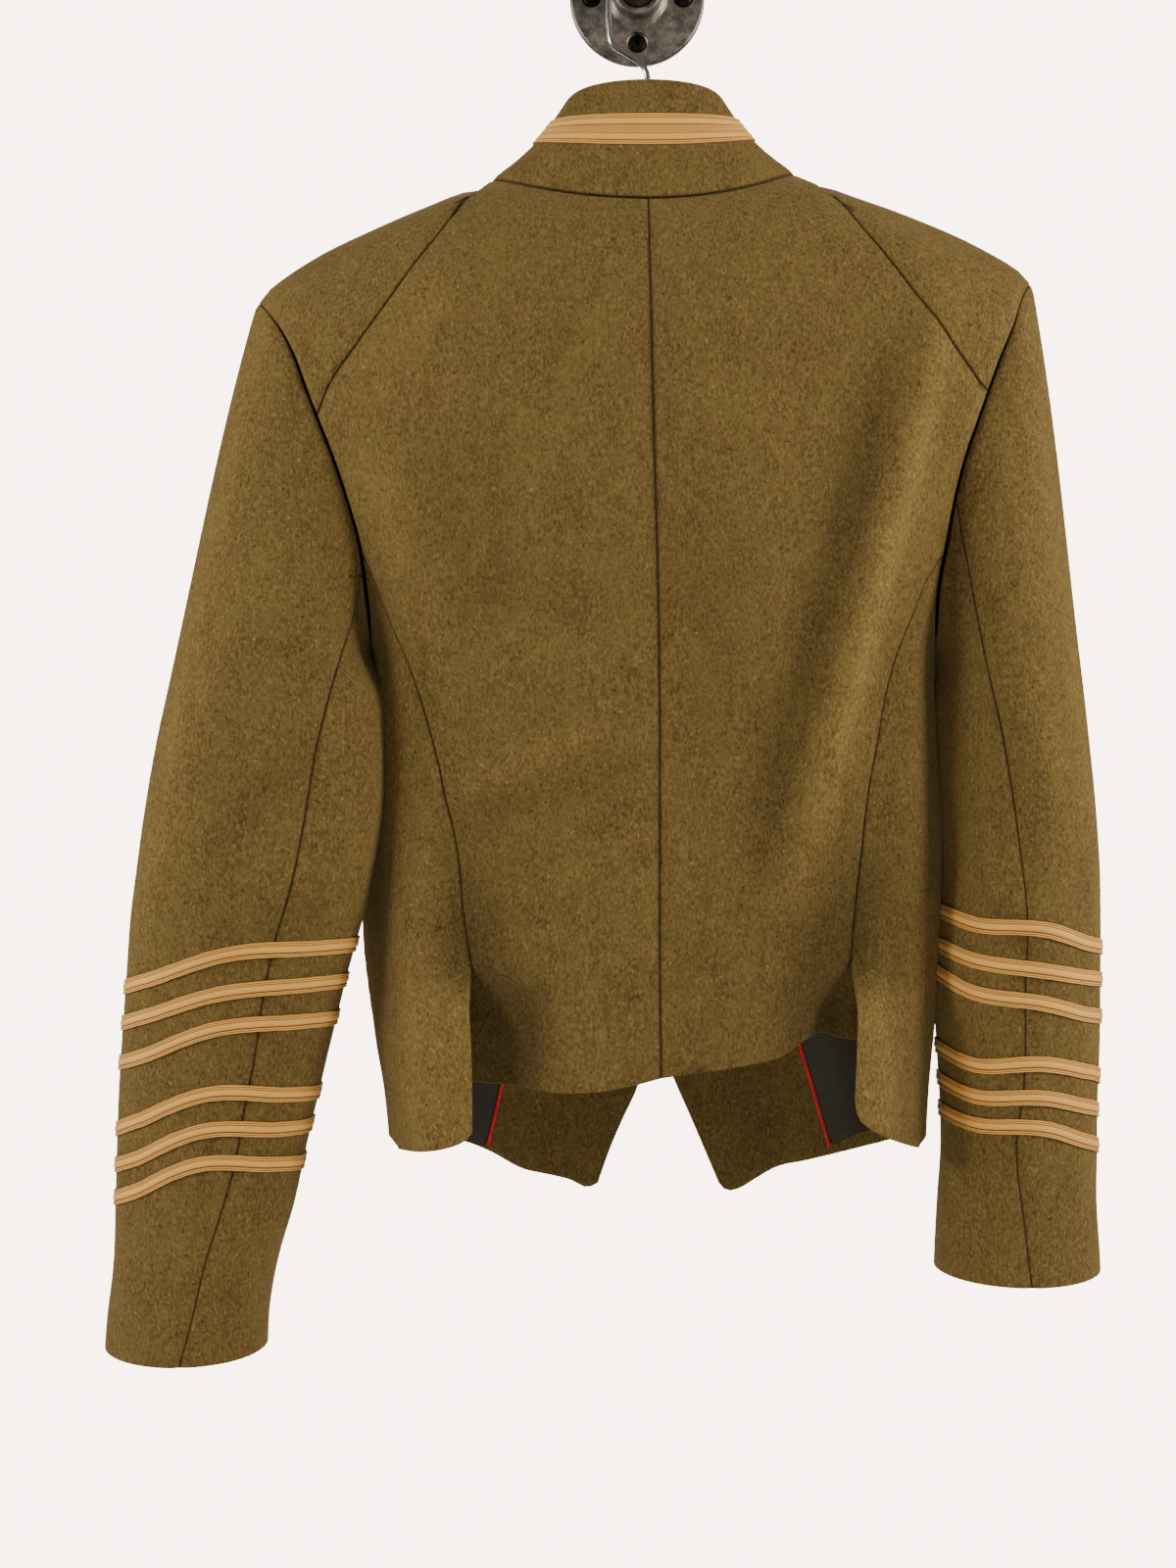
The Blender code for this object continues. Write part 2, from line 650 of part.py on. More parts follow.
def body_panels(finish):
    for side in SIDES:
        sign = TOWARDS[side]
        line = body_lines(side)
        back = joined(
            line["centre"], line["back_hem"], line["under_edge"][::-1], line["side_back"][::-1],
            line["armhole_back"][::-1], line["diagonal"][::-1], neck(sign * 0.25, 0.0, 9))
        panel = joined(
            line["side_back"], line["free_edge"], line["side_hem"], line["side_front"][::-1],
            line["armhole_foot"][::-1])
        front = joined(
            line["diagonal"], line["armhole_over"], line["side_front"], line["front_hem"],
            line["front_edge"][::-1], neck(sign * 0.5, sign * 0.25, 9))
        for kind, outline in (("back", back), ("side", panel), ("front", front)):
            cut_piece(f"{kind}_{side}", outline, cloth(kind, side), BODY_MESH, BODY_GIRTH, WALL, finish)


# Sleeves

def sleeve_ring(turn, height, side):
    """Points of a sleeve below its head. Turn 0 is the outer edge, 0.25 the back, 0.5 the inner edge."""
    rings = SLEEVE_RINGS[side]
    at = {name: spline(rings["height"], column, height) for name, column in rings.items()}
    across = (at["outer"] - at["inner"]) / 2
    deep = np.sqrt(2 * (at["girth"] / (2 * math.pi)) ** 2 - across ** 2)
    x = (at["outer"] + at["inner"]) / 2 + across * np.cos(2 * math.pi * turn)
    y = at["depth"] - deep * np.sin(2 * math.pi * turn)
    dip = CUFF_DIP * ease((CUFF[side] + 0.06 - height) / 0.06) * np.sin(2 * math.pi * turn)
    return np.stack([x, y, height - dip], axis=-1)


def sleeve(turn, height, side):
    """Points of the whole sleeve: its head is lofted from the armhole to the upper arm's ring."""
    turn, height = np.broadcast_arrays(np.asarray(turn, float), np.asarray(height, float))
    lower = sleeve_ring(turn, np.minimum(height, UPPER_ARM), side)
    place = armhole(2 * math.pi * (turn % 1.0), side)
    start = torso(place[..., 0], place[..., 1]) + np.array([OUTWARD[side] * SET_IN, 0.0, 0.0])
    end = sleeve_ring(turn, np.full(turn.shape, UPPER_ARM), side)
    below = sleeve_ring(turn, np.full(turn.shape, UPPER_ARM - 0.004), side)
    f = np.clip((SLEEVE_TOP[side] - height) / (SLEEVE_TOP[side] - UPPER_ARM), 0, 1)[..., None]
    span = np.linalg.norm(end - start, axis=-1, keepdims=True)
    angle = 2 * math.pi * turn
    above, beneath = 0.5 + 0.5 * np.cos(angle), 0.5 - 0.5 * np.cos(angle)
    sideways = OUTWARD[side] * (CAP_ROLL * above + UNDERARM_ROLL * beneath ** 2)
    roll = np.stack([sideways, -0.6 * CAP_ROLL * np.sin(angle), 0 * angle], axis=-1)
    leave = end - start + span * roll
    arrive = span * unit(below - end)
    head = (1 + 2 * f) * (1 - f) ** 2 * start + f * (1 - f) ** 2 * leave
    head = head + f ** 2 * (3 - 2 * f) * end - f ** 2 * (1 - f) * arrive
    return np.where((height > UPPER_ARM)[..., None], head, lower)


def sleeve_normals(turn, height, side):
    """Outward normals. At the armhole they are turned so that the wall stays beside the body's wall."""
    own = normals(lambda a, b: sleeve(a, b, side), turn, height) * OUTWARD[side]
    angle = 2 * math.pi * (turn % 1.0)
    here, there = armhole(angle, side), armhole(angle + 0.01, side)
    run = unit(torso(there[..., 0], there[..., 1]) - torso(here[..., 0], here[..., 1]))
    body = normals(torso, here[..., 0], here[..., 1])
    into_panel = np.cross(body, run)
    centre = torso(*armhole(np.array(math.pi), side)) * 0.5 + torso(*armhole(np.array(0.0), side)) * 0.5
    towards = np.sum((torso(here[..., 0], here[..., 1]) - centre) * into_panel, axis=-1, keepdims=True)
    into_panel = into_panel * np.sign(towards)
    crossing = np.maximum(-np.sum(own * into_panel, axis=-1, keepdims=True), 0)
    held = unit(own + crossing * into_panel)
    near = 1 - ease((SLEEVE_TOP[side] - height) / SEAM_TURN)[..., None]
    return unit(held * near + own * (1 - near))


def elbow_turn(heights, side):
    """The turn of the elbow seam at each height of the sleeve's pattern, below the armhole."""
    heights = np.asarray(heights, float)
    line = ELBOW_SEAM[side]

    def miss(turn):
        points = sleeve(turn, heights, side)
        return (spline(line["height"], line["x"], points[..., 2]) - points[..., 0]) * OUTWARD[side]
    return root(miss, np.full(heights.shape, 0.02), np.full(heights.shape, 0.5))


def sleeve_pieces(finish):
    for side in SIDES:
        heights = np.concatenate([
            drop(SLEEVE_TOP[side], UPPER_ARM, 0.032), drop(UPPER_ARM, CUFF[side], 0.034)[1:]])
        stops = armhole_stops(side)
        elbow_turns = np.append(stops["elbow"] / (2 * math.pi), elbow_turn(heights[1:], side))
        elbow = np.stack([elbow_turns, heights], axis=-1)
        fraction = (heights - SLEEVE_TOP[side]) / (CUFF[side] - SLEEVE_TOP[side])
        front_turn = FRONT_SEAM_TURN[0] + (FRONT_SEAM_TURN[1] - FRONT_SEAM_TURN[0]) * fraction
        front = np.stack([front_turn, heights], axis=-1)
        around = np.array([1.0, 0.0])

        def cuff(start, end):
            turns = arc(2 * math.pi * start, 2 * math.pi * end) / (2 * math.pi)
            return np.stack([turns, np.full(len(turns), CUFF[side])], axis=-1)

        def head(start, end):
            turns = armhole_angles(side, start, end) / (2 * math.pi)
            return np.stack([turns, np.full(len(turns), SLEEVE_TOP[side])], axis=-1)

        top = joined(
            elbow, cuff(elbow[-1, 0], front[-1, 0] - 1), (front - around)[::-1],
            head(stops["front"] - 2 * math.pi, stops["elbow"]))
        under = joined(
            elbow, cuff(elbow[-1, 0], front[-1, 0]), front[::-1], head(stops["front"], stops["elbow"]))
        for kind, outline in (("top", top), ("under", under)):
            cut_piece(
                f"{kind}_sleeve_{side}", outline, lambda a, b: sleeve(a, b, side), SLEEVE_MESH, SLEEVE_GIRTH,
                WALL, finish, direction=lambda a, b: sleeve_normals(a, b, side))


# Collar

def collar(turn, height):
    """Points of the standing collar. Height 0 is the neck seam, COLLAR_HEIGHT its top edge."""
    turn, height = np.broadcast_arrays(np.asarray(turn, float), np.asarray(height, float))
    foot = torso(turn, RINGS["back"][0]) + np.array([0.0, 0.0, COLLAR_LIFT])
    sine, cosine = np.sin(2 * math.pi * turn), np.cos(2 * math.pi * turn)
    edge = COLLAR_TOP
    reach = np.where(sine > 0, edge["middle"] - edge[LEFT], edge[RIGHT] - edge["middle"])
    depth = np.where(cosine > 0, SIDE_DEPTH - edge["rear"], edge["fore"] - SIDE_DEPTH)
    middle_z = np.where(cosine > 0, edge["back"], edge["front"])
    x = edge["middle"] - reach * sine * (1 + SIDE_FULLNESS * cosine ** 2)
    y = SIDE_DEPTH - depth * cosine * (1 + BACK_FULLNESS * sine ** 2)
    z = middle_z + (edge["side"] - middle_z) * sine ** 2
    rim = np.stack([x, y, z], axis=-1)
    f = (height / COLLAR_HEIGHT)[..., None]
    hollow = COLLAR_HOLLOW * np.sin(math.pi * np.clip(f, 0, 1)) * (sine ** 2)[..., None]
    inward = np.stack([np.sign(sine) * 0.75, 0 * sine, -0.65 * np.ones_like(sine)], axis=-1)
    return foot + (rim - foot) * f + inward * hollow


def collar_piece(finish):
    turns = np.linspace(-0.5, 0.5, 33)
    foot = np.stack([turns, np.zeros(33)], axis=-1)
    rim = np.stack([turns, np.full(33, COLLAR_HEIGHT)], axis=-1)
    ends = drop(0.0, COLLAR_HEIGHT, 0.018)
    outline = joined(foot, vertical(0.5, ends), rim[::-1], vertical(-0.5, ends[::-1]))
    cut_piece("collar", outline, collar, COLLAR_MESH, 0.50, WALL, finish)


# Braid

def band(name, corners, looped, finish):
    """A flat band from its four corner lines, each an array of points along it."""
    lines = np.stack(corners, axis=1)
    count, sides = lines.shape[:2]
    faces = []
    for i in range(count if looped else count - 1):
        j = (i + 1) % count
        for k in range(sides):
            m = (k + 1) % sides
            faces.append((i * sides + k, j * sides + k, j * sides + m, i * sides + m))
    if not looped:
        faces += [tuple(range(sides)), tuple(reversed(range((count - 1) * sides, count * sides)))]
    return add_object(name, lines.reshape(-1, 3), faces, finish)


def laid_band(name, surface, away, lower, upper, looped, finish):
    """A band laid on a surface between two pattern lines, its face slightly narrower than its foot."""
    def line(edge, height):
        first, second = edge.T
        return surface(first, second) + away(first, second) * height
    shoulder = 0.12 * (upper - lower)
    corners = [
        line(lower, BRAID_GAP), line(lower + shoulder, BRAID_GAP + BRAID_WALL),
        line(upper - shoulder, BRAID_GAP + BRAID_WALL), line(upper, BRAID_GAP)]
    return band(name, corners, looped, finish)


def braid_middle(row, side, turn):
    """Height of a sleeve braid's middle. The hidden half of the sleeve mirrors the back."""
    columns = SLEEVE_BRAIDS[side]
    back = [columns[name][row] for name in ("outer", "back_outer", "back", "back_inner", "inner")]
    full = back + back[-2:0:-1]
    knots = np.arange(-2, 11) / 8
    return spline(knots, [full[i % 8] for i in range(-2, 11)], turn)


def sleeve_braids(finish):
    turns = np.arange(BRAID_STEPS) / BRAID_STEPS
    for side in SIDES:
        surface = lambda a, b, side=side: sleeve(a, b, side)
        away = lambda a, b, side=side: sleeve_normals(a, b, side)
        for row in range(len(SLEEVE_BRAIDS[side]["outer"])):
            middle = braid_middle(row, side, turns)
            points = surface(turns, middle)
            ahead = surface(turns + 0.002, braid_middle(row, side, turns + 0.002)) - points
            slant = np.linalg.norm(ahead, axis=1) / np.linalg.norm(ahead[:, :2], axis=1)
            half = BRAID_WIDTH / 2 * slant
            lower = np.stack([turns, middle - half], axis=-1)
            upper = np.stack([turns, middle + half], axis=-1)
            laid_band(f"cuff_braid_{row + 1}_{side}", surface, away, lower, upper, True, finish)


def collar_braids(finish):
    end = 0.5 - SEAM_GAP
    turns = np.linspace(-end, end, COLLAR_STEPS + 1)
    lower = spline(COLLAR_BRAID_TURNS, COLLAR_BRAIDS["lower"], np.abs(turns))
    upper = spline(COLLAR_BRAID_TURNS, COLLAR_BRAIDS["upper"], np.abs(turns))
    middle = (lower + upper) / 2
    away = lambda a, b: normals(collar, a, b)
    for name, low, high in (
            ("collar_braid_lower", lower, middle - SEAM_GAP / 2),
            ("collar_braid_upper", middle + SEAM_GAP / 2, upper)):
        laid_band(name, collar, away, np.stack([turns, low], axis=-1), np.stack([turns, high], axis=-1),
                  False, finish)


# Inside of the fronts

def inside_pieces(melton, lining, piping):
    for side in SIDES:
        out = OUTWARD[side]
        surface = cloth("front", side)
        hem_points = np.array(FRONT_HEM[side], float) * MM
        pipe_foot = seam_x(PIPING_LINE, side, -0.752)
        hem_points = hem_points[(hem_points[:, 0] - pipe_foot) * out < 0]
        heights = drop(INSIDE_TOP, -0.757, 0.030)
        edge_x = seam_x(FRONT_EDGE, side, heights) + out * EDGE_MARGIN
        pipe_heights = drop(INSIDE_TOP, -0.752, 0.030)
        pipe_x = seam_x(PIPING_LINE, side, pipe_heights)
        beside = PIPING_RADIUS + SEAM_GAP
        facing = joined(
            locate(edge_x, heights, side, True),
            locate(hem_points[::-1, 0] + out * EDGE_MARGIN * 0.6, hem_points[::-1, 1] + EDGE_MARGIN, side, True),
            locate(pipe_x - out * beside, pipe_heights, side, True)[::-1])
        laid = -(WALL + LAID_GAP)
        cut_piece(f"facing_{side}", facing, surface, BODY_MESH, BODY_GIRTH, FACING_WALL, melton, outset=laid)
        outer_heights = drop(INSIDE_TOP, LINING_HEM[side][-1][1] * MM, 0.030)
        outer_x = seam_x(SIDE_FRONT_SEAM, side, outer_heights) - out * EDGE_MARGIN
        lining_hem = hem(LINING_HEM[side][:-1], side, True)
        lining_piece = joined(
            locate(pipe_x + out * beside, pipe_heights, side, True)[:-1], lining_hem,
            locate(outer_x, outer_heights, side, True)[::-1])
        cut_piece(f"lining_{side}", lining_piece, surface, BODY_MESH, BODY_GIRTH, LINING_WALL, lining,
                  outset=laid)
        place = locate(pipe_x, pipe_heights, side, True)
        away = normals(torso, place[:, 0], place[:, 1])
        path = surface(place[:, 0], place[:, 1]) + away * (laid - PIPING_RADIUS)
        across = np.cross(away, unit(np.gradient(path, axis=0)))
        sweep(f"piping_{side}", path, away * PIPING_RADIUS, unit(across) * PIPING_RADIUS, 6, piping)


# Hanger and wall fitting

def sweep(name, path, first, second, sides, finish):
    """A solid of elliptical section along a path: first and second are the section's half axes."""
    angles = np.arange(sides) * 2 * math.pi / sides
    rings = path[:, None] + first[:, None] * np.cos(angles)[:, None] + second[:, None] * np.sin(angles)[:, None]
    return band(name, [rings[:, k] for k in range(sides)], False, finish)


def smooth_path(points, step):
    """Points along a smooth curve through the given ones, about a step apart."""
    points = np.asarray(points, float)
    length = np.concatenate([[0], np.cumsum(np.linalg.norm(np.diff(points, axis=0), axis=1))])
    at = np.linspace(0, length[-1], max(2, round(length[-1] / step)))
    return np.stack([spline(length, column, at) for column in points.T], axis=-1)


def upright(xz):
    """Points in the hanger's plane."""
    return np.stack([xz[:, 0], np.full(len(xz), -HANG_DEPTH), xz[:, 1]], axis=-1)


def plane_sweep(name, path, thickness, height, sides, finish):
    """A sweep in the hanger's plane."""
    run = unit(np.gradient(path, axis=0))
    depth_way = np.broadcast_to([0.0, 1.0, 0.0], path.shape)
    return sweep(name, path, depth_way * thickness, np.cross(run, depth_way) * height, sides, finish)


def hanger(wood, steel):
    arms = []
    for side in SIDES:
        rings = np.linspace(*ARM_RINGS, 6)
        turn = np.full(6, TOWARDS[side] * 0.25)
        below = torso(turn, rings) - normals(torso, turn, rings) * (WALL + ARM_CLEARANCE[side] + ARM_HEIGHT)
        arms.append(below[:, [0, 2]])
    route = np.concatenate([arms[0][::-1], np.array(HANGER_MIDDLE) * MM, arms[1]])
    path = smooth_path(upright(route), 0.0165)
    half = np.full((len(path), 1), ARM_HEIGHT)
    half[[0, -1]] = ARM_HEIGHT * 0.55
    plane_sweep("hanger_body", path, ARM_THICKNESS, half, 12, wood)
    middle_x = HOOK_STEM[-1][0] * MM
    top = np.interp(middle_x, path[:, 0], path[:, 2]) + ARM_HEIGHT
    angles = np.radians(np.linspace(HOOK_TIP_ANGLE, 180, 18))
    arch = np.stack([HOOK_RADIUS * np.cos(angles), HOOK_CENTRE + HOOK_RADIUS * np.sin(angles)], axis=-1)
    stem = smooth_path(np.array([*HOOK_STEM, (HOOK_STEM[-1][0], (top + FIT) / MM)]) * MM, 0.0062)
    hook = upright(np.concatenate([arch, stem]))
    plane_sweep("hanger_hook", hook, WIRE_RADIUS, WIRE_RADIUS, 8, steel)


def turned(name, profile, segments, finish, at=(0.0, 0.0)):
    """A solid turned about a line along Y through at. The profile's rows are radius and depth from the wall."""
    angles = np.arange(segments) * 2 * math.pi / segments
    vertices, rows = [], []
    for radius, depth in profile:
        if radius == 0:
            rows.append([len(vertices)] * segments)
            vertices.append((at[0], -depth, at[1]))
            continue
        rows.append(list(range(len(vertices), len(vertices) + segments)))
        vertices += [(at[0] + radius * math.cos(a), -depth, at[1] + radius * math.sin(a)) for a in angles]
    faces = []
    for near, far in zip(rows, rows[1:]):
        for i in range(segments):
            j = (i + 1) % segments
            corners = list(dict.fromkeys((near[i], near[j], far[j], far[i])))
            faces.append(corners)
    return add_object(name, vertices, faces, finish)


def wall_fitting(iron, black):
    bore, seat = PIPE_RADIUS + FIT, 0.006
    flange = turned("wall_flange", [
        (0, 0), (FLANGE_RADIUS, 0), (FLANGE_RADIUS, 0.0042), (FLANGE_RADIUS - 0.0012, 0.0055),
        (0.0200, 0.0075), (HUB_RADIUS + 0.0012, 0.0100), (HUB_RADIUS, HUB_HEIGHT - 0.001),
        (HUB_RADIUS - 0.001, HUB_HEIGHT), (bore, HUB_HEIGHT), (bore, seat), (0, seat)], 40, iron)
    end = PIPE_END
    turned("pipe", [(0, seat + FIT), (PIPE_RADIUS, seat + FIT), (PIPE_RADIUS, end - 0.001),
                    (PIPE_RADIUS - 0.001, end), (0, end)], 28, iron)
    lip = end - 0.012
    turned("pipe_cap", [
        (0, end + FIT), (bore, end + FIT), (bore, lip), (CAP_RADIUS - 0.001, lip), (CAP_RADIUS, lip + 0.001),
        (CAP_RADIUS, lip + CAP_LENGTH - 0.007), (CAP_RADIUS * 0.86, lip + CAP_LENGTH - 0.0026),
        (CAP_RADIUS * 0.5, lip + CAP_LENGTH - 0.0006), (0, lip + CAP_LENGTH)], 28, iron)
    hole, shank, head, face = 0.0070, 0.0030, 0.0058, 0.0070
    for number, quarter in enumerate((0, 1, 2, 3)):
        angle = math.radians(90 * quarter)
        at = (SCREW_CIRCLE * math.cos(angle), SCREW_CIRCLE * math.sin(angle))
        cutter = turned(f"screw_hole_{number + 1}", [
            (0, -0.002), (shank + FIT, -0.002), (shank + FIT, 0.0022), (hole - 0.0006, 0.0048), (hole, 0.0052),
            (hole, 0.0120), (0, 0.0120)], 20, black, at)
        cutter.hide_render = True
        cutter.display_type = "WIRE"
        cut = flange.modifiers.new(cutter.name, "BOOLEAN")
        cut.object = cutter
        turned(f"screw_{number + 1}", [
            (0, 0.0003), (shank, 0.0003), (shank, 0.0024), (head, 0.0049), (head - 0.0012, face - 0.0016),
            (0, face - 0.0010)], 16, black, at)


def build():
    for old in list(bpy.data.objects):
        bpy.data.objects.remove(old, do_unlink=True)
    melton = material("melton", 0.95)
    lining = material("lining", 0.45)
    piping = material("piping", 0.80)
    braid = material("braid", 0.75)
    iron = material("iron", 0.45, 0.9)
    steel = material("steel", 0.22, 1.0)
    black = material("black_steel", 0.40, 0.8)
    wood = material("wood", 0.50)
    body_panels(melton)
    sleeve_pieces(melton)
    collar_piece(melton)
    sleeve_braids(braid)
    collar_braids(braid)
    inside_pieces(melton, lining, piping)
    hanger(wood, steel)
    wall_fitting(iron, black)


build()
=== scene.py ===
# Looks of a short mess jacket seen from behind, on a hanger hooked over an iron wall pipe.
# Lengths are in metres, tables in millimetres. The wearer's left is at -X, the wall is towards +Y.

import math

import bmesh
import bpy
import numpy as np
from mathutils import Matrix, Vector
from mathutils.geometry import delaunay_2d_cdt


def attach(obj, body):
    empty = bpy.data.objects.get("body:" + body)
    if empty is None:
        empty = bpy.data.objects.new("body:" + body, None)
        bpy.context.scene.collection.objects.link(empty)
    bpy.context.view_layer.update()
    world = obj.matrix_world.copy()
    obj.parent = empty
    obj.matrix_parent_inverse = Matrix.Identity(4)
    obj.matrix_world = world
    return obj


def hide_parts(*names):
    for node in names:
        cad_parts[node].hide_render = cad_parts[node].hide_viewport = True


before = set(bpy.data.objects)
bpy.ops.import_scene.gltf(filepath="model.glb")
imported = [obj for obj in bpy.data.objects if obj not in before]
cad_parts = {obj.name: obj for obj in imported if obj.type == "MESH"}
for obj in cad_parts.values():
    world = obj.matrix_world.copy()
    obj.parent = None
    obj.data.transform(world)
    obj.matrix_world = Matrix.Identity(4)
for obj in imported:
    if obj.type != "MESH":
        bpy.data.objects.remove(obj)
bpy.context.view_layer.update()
mm = 0.001
fullTurn = 2 * math.pi
left, right = "left", "right"
sides = (left, right)
towards = {left: 1.0, right: -1.0}    # sign of a turn about the body
outward = {left: -1.0, right: 1.0}    # sign of x
print("frame loaded")


# Finishes

def linearColour(hexText):
    # sRGB hex to linear: the standard curve, channel by channel
    values = np.array([int(hexText[i:i + 2], 16) for i in (1, 3, 5)]) / 255
    curve = np.where(values > 0.04045, ((values + 0.055) / 1.055) ** 2.4, values / 12.92)
    return (*curve.tolist(), 1.0)


def socketOf(sockets, name):
    # The socket of that name which the node's settings leave switched on
    return next(socket for socket in sockets if socket.name == name and socket.enabled)


def addNode(tree, kind, values=None, links=None, **settings):
    # One node with its settings, its input values and what each input is linked from
    node = tree.nodes.new(kind)
    for name, value in settings.items():
        setattr(node, name, value)
    for name, value in (values or {}).items():
        socketOf(node.inputs, name).default_value = value
    for name, (source, output) in (links or {}).items():
        tree.links.new(socketOf(source.outputs, output), socketOf(node.inputs, name))
    return node


def newFinish(name, shader):
    # A material whose Principled shader has the given plain values
    finish = bpy.data.materials.new(name)
    finish.use_nodes = True
    principled = finish.node_tree.nodes["Principled BSDF"]
    for socket, value in shader.items():
        principled.inputs[socket].default_value = value
    return finish, finish.node_tree, principled


def feed(tree, source, shader, socket):
    # One of the shader's inputs, linked from a node's output
    node, output = source
    tree.links.new(socketOf(node.outputs, output), shader.inputs[socket])


def colourRamp(tree, source, stops):
    # A ramp of sRGB hex stops, read at one value
    node = addNode(tree, "ShaderNodeValToRGB", None, {"Fac": source})
    ramp = node.color_ramp
    while len(ramp.elements) < len(stops):
        ramp.elements.new(0.5)
    for element, (place, hexText) in zip(ramp.elements, stops):
        element.position = place
        element.color = linearColour(hexText)
    return node, "Color"


def coordinates(tree, squeeze=(1.0, 1.0, 1.0)):
    # Object coordinates, each way scaled by its squeeze: less than one draws a pattern out along it
    place = addNode(tree, "ShaderNodeTexCoord")
    return addNode(tree, "ShaderNodeMapping", {"Scale": squeeze}, {"Vector": (place, "Object")}), "Vector"


def noise(tree, place, sizeMm, detail=3.0, roughness=0.6):
    # Noise with features of a real size
    return addNode(tree, "ShaderNodeTexNoise", {
        "Scale": 1 / (sizeMm * mm), "Detail": detail, "Roughness": roughness}, {"Vector": place}), "Fac"


def attribute(tree, name):
    # A value that the mesh carries by point
    return addNode(tree, "ShaderNodeAttribute", attribute_name=name), "Fac"


def blend(tree, share, first, second):
    # Two values, the second by an even share
    return addNode(tree, "ShaderNodeMix", {"Factor": share}, {"A": first, "B": second},
                   data_type="FLOAT"), "Result"


def overlay(tree, share, under, hexText):
    # One colour over another, by a share that differs from place to place
    return addNode(tree, "ShaderNodeMix", {"B": linearColour(hexText)}, {"Factor": share, "A": under},
                   data_type="RGBA"), "Result"


def stretch(tree, source, low, high, toLow, toHigh):
    # The range from low to high, laid evenly on another and held at its ends
    return addNode(tree, "ShaderNodeMapRange", {
        "From Min": low, "From Max": high, "To Min": toLow, "To Max": toHigh}, {"Value": source}), "Result"


def emboss(tree, source, strength, heightMm, shader):
    # The surface raised in the light by a value times a real height
    values = {"Strength": strength, "Distance": heightMm * mm}
    bump = addNode(tree, "ShaderNodeBump", values, {"Height": source})
    feed(tree, (bump, "Normal"), shader, "Normal")


meltonLook = {
    "stops": [(0.27, "#33290F"), (0.42, "#5A4A26"), (0.56, "#756138"), (0.75, "#97814F")],
    "olive": "#68602A",    # green wool in the blend, which shows in patches
    "paleFleck": "#B39B68",
    "darkFleck": "#261C0A",
    # painted shade in the crevices of the seams
    "seamShadeColour": "#191206",
    "ridgeShade": 1.36, "hollowShade": 0.56,    # painted light on the fold ridges and painted shade in the fold hollows
    # Where each colour lies over the blend: the range of its noise, and its share at the range's end
    "oliveRange": (0.40, 0.75, 0.0, 0.28), "paleRange": (0.64, 0.78, 0.0, 0.5),
    "darkRange": (0.37, 0.27, 0.0, 0.7),
    "mottleShare": 0.17, "patchShare": 0.10,
    "fibreMm": 1.5,        # a clump of fibres, as coarse as it needs to be to show
    "fleckMm": 1.95,
    "mottleMm": 6.0,
    "patchMm": 26.0,
    "bumpMm": 0.7,
}


def meltonFinish(name, look):
    # Wool melton, milled until the nap hides the weave: dull, heathered, with pale and dark flecks. Painted
    # shade in the fold hollows and the seams, painted light on the fold ridges
    finish, tree, shader = newFinish(name, {
        "Roughness": 0.95, "Sheen Weight": 0.25, "Sheen Roughness": 0.5,
        "Sheen Tint": linearColour("#D8C489"), "Specular IOR Level": 0.15})
    grain = coordinates(tree, (1.0, 1.0, 0.55))
    fibre = noise(tree, grain, look["fibreMm"], 4.0, 0.7)
    mottle = noise(tree, grain, look["mottleMm"])
    patch = noise(tree, grain, look["patchMm"], 2.0)
    fleck = noise(tree, coordinates(tree), look["fleckMm"], 2.0, 0.5)
    nap = blend(tree, look["mottleShare"], fibre, mottle)
    colour = colourRamp(tree, blend(tree, look["patchShare"], nap, patch), look["stops"])
    colour = overlay(tree, stretch(tree, patch, *look["oliveRange"]), colour, look["olive"])
    colour = overlay(tree, stretch(tree, fleck, *look["paleRange"]), colour, look["paleFleck"])
    colour = overlay(tree, stretch(tree, fleck, *look["darkRange"]), colour, look["darkFleck"])
    # painted shade in the fold hollows and painted light on the fold ridges, from the hollow mark
    foldShadeScale = stretch(tree, attribute(tree, "hollow"), -1.0, 1.0, look["ridgeShade"], look["hollowShade"])
    foldShaded = addNode(tree, "ShaderNodeVectorMath", None, {"Vector": colour, "Scale": foldShadeScale}, operation="SCALE")
    # painted shade along the seams, from the seam mark
    seamShaded = overlay(tree, attribute(tree, "seam"), (foldShaded, "Vector"), look["seamShadeColour"])
    feed(tree, seamShaded, shader, "Base Color")
    emboss(tree, nap, 0.8, look["bumpMm"], shader)
    return finish


braidLook = {
    "stops": [(0.10, "#3E260A"), (0.34, "#96682A"), (0.60, "#E0A23E"), (0.92, "#FBCD78")],
    "threadMm": 0.8,
}


def braidFinish(name, look):
    # Rayon and wool braid, woven flat: painted light on its raised ribs, painted shade in the grooves between
    # them
    finish, tree, shader = newFinish(name, {
        "Roughness": 0.62, "Sheen Weight": 0.15, "Sheen Roughness": 0.5, "Specular IOR Level": 0.35})
    thread = noise(tree, coordinates(tree), look["threadMm"])
    # painted light on the ribs and painted shade in the grooves, from the rib mark
    shade = blend(tree, 0.22, attribute(tree, "rib"), thread)
    feed(tree, colourRamp(tree, shade, look["stops"]), shader, "Base Color")
    emboss(tree, thread, 0.5, 0.3, shader)
    return finish


def wovenFinish(name, stops, threadMm, roughness, sheen, bumpMm):
    # A fine cloth whose threads cross: two waves, one along each of the cloth's ways, over a slow mottle
    finish, tree, shader = newFinish(name, {"Roughness": roughness, "Sheen Weight": sheen})
    place = coordinates(tree)
    wave = {"Scale": 0.3 / (threadMm * mm), "Distortion": 1.5}
    warp, weft = [(addNode(tree, "ShaderNodeTexWave", wave, {"Vector": place}, bands_direction=way), "Fac")
                  for way in "XZ"]
    cross = blend(tree, 0.5, warp, weft)
    shade = blend(tree, 0.6, cross, noise(tree, place, 12.0))
    feed(tree, colourRamp(tree, shade, stops), shader, "Base Color")
    emboss(tree, cross, 0.4, bumpMm, shader)
    return finish


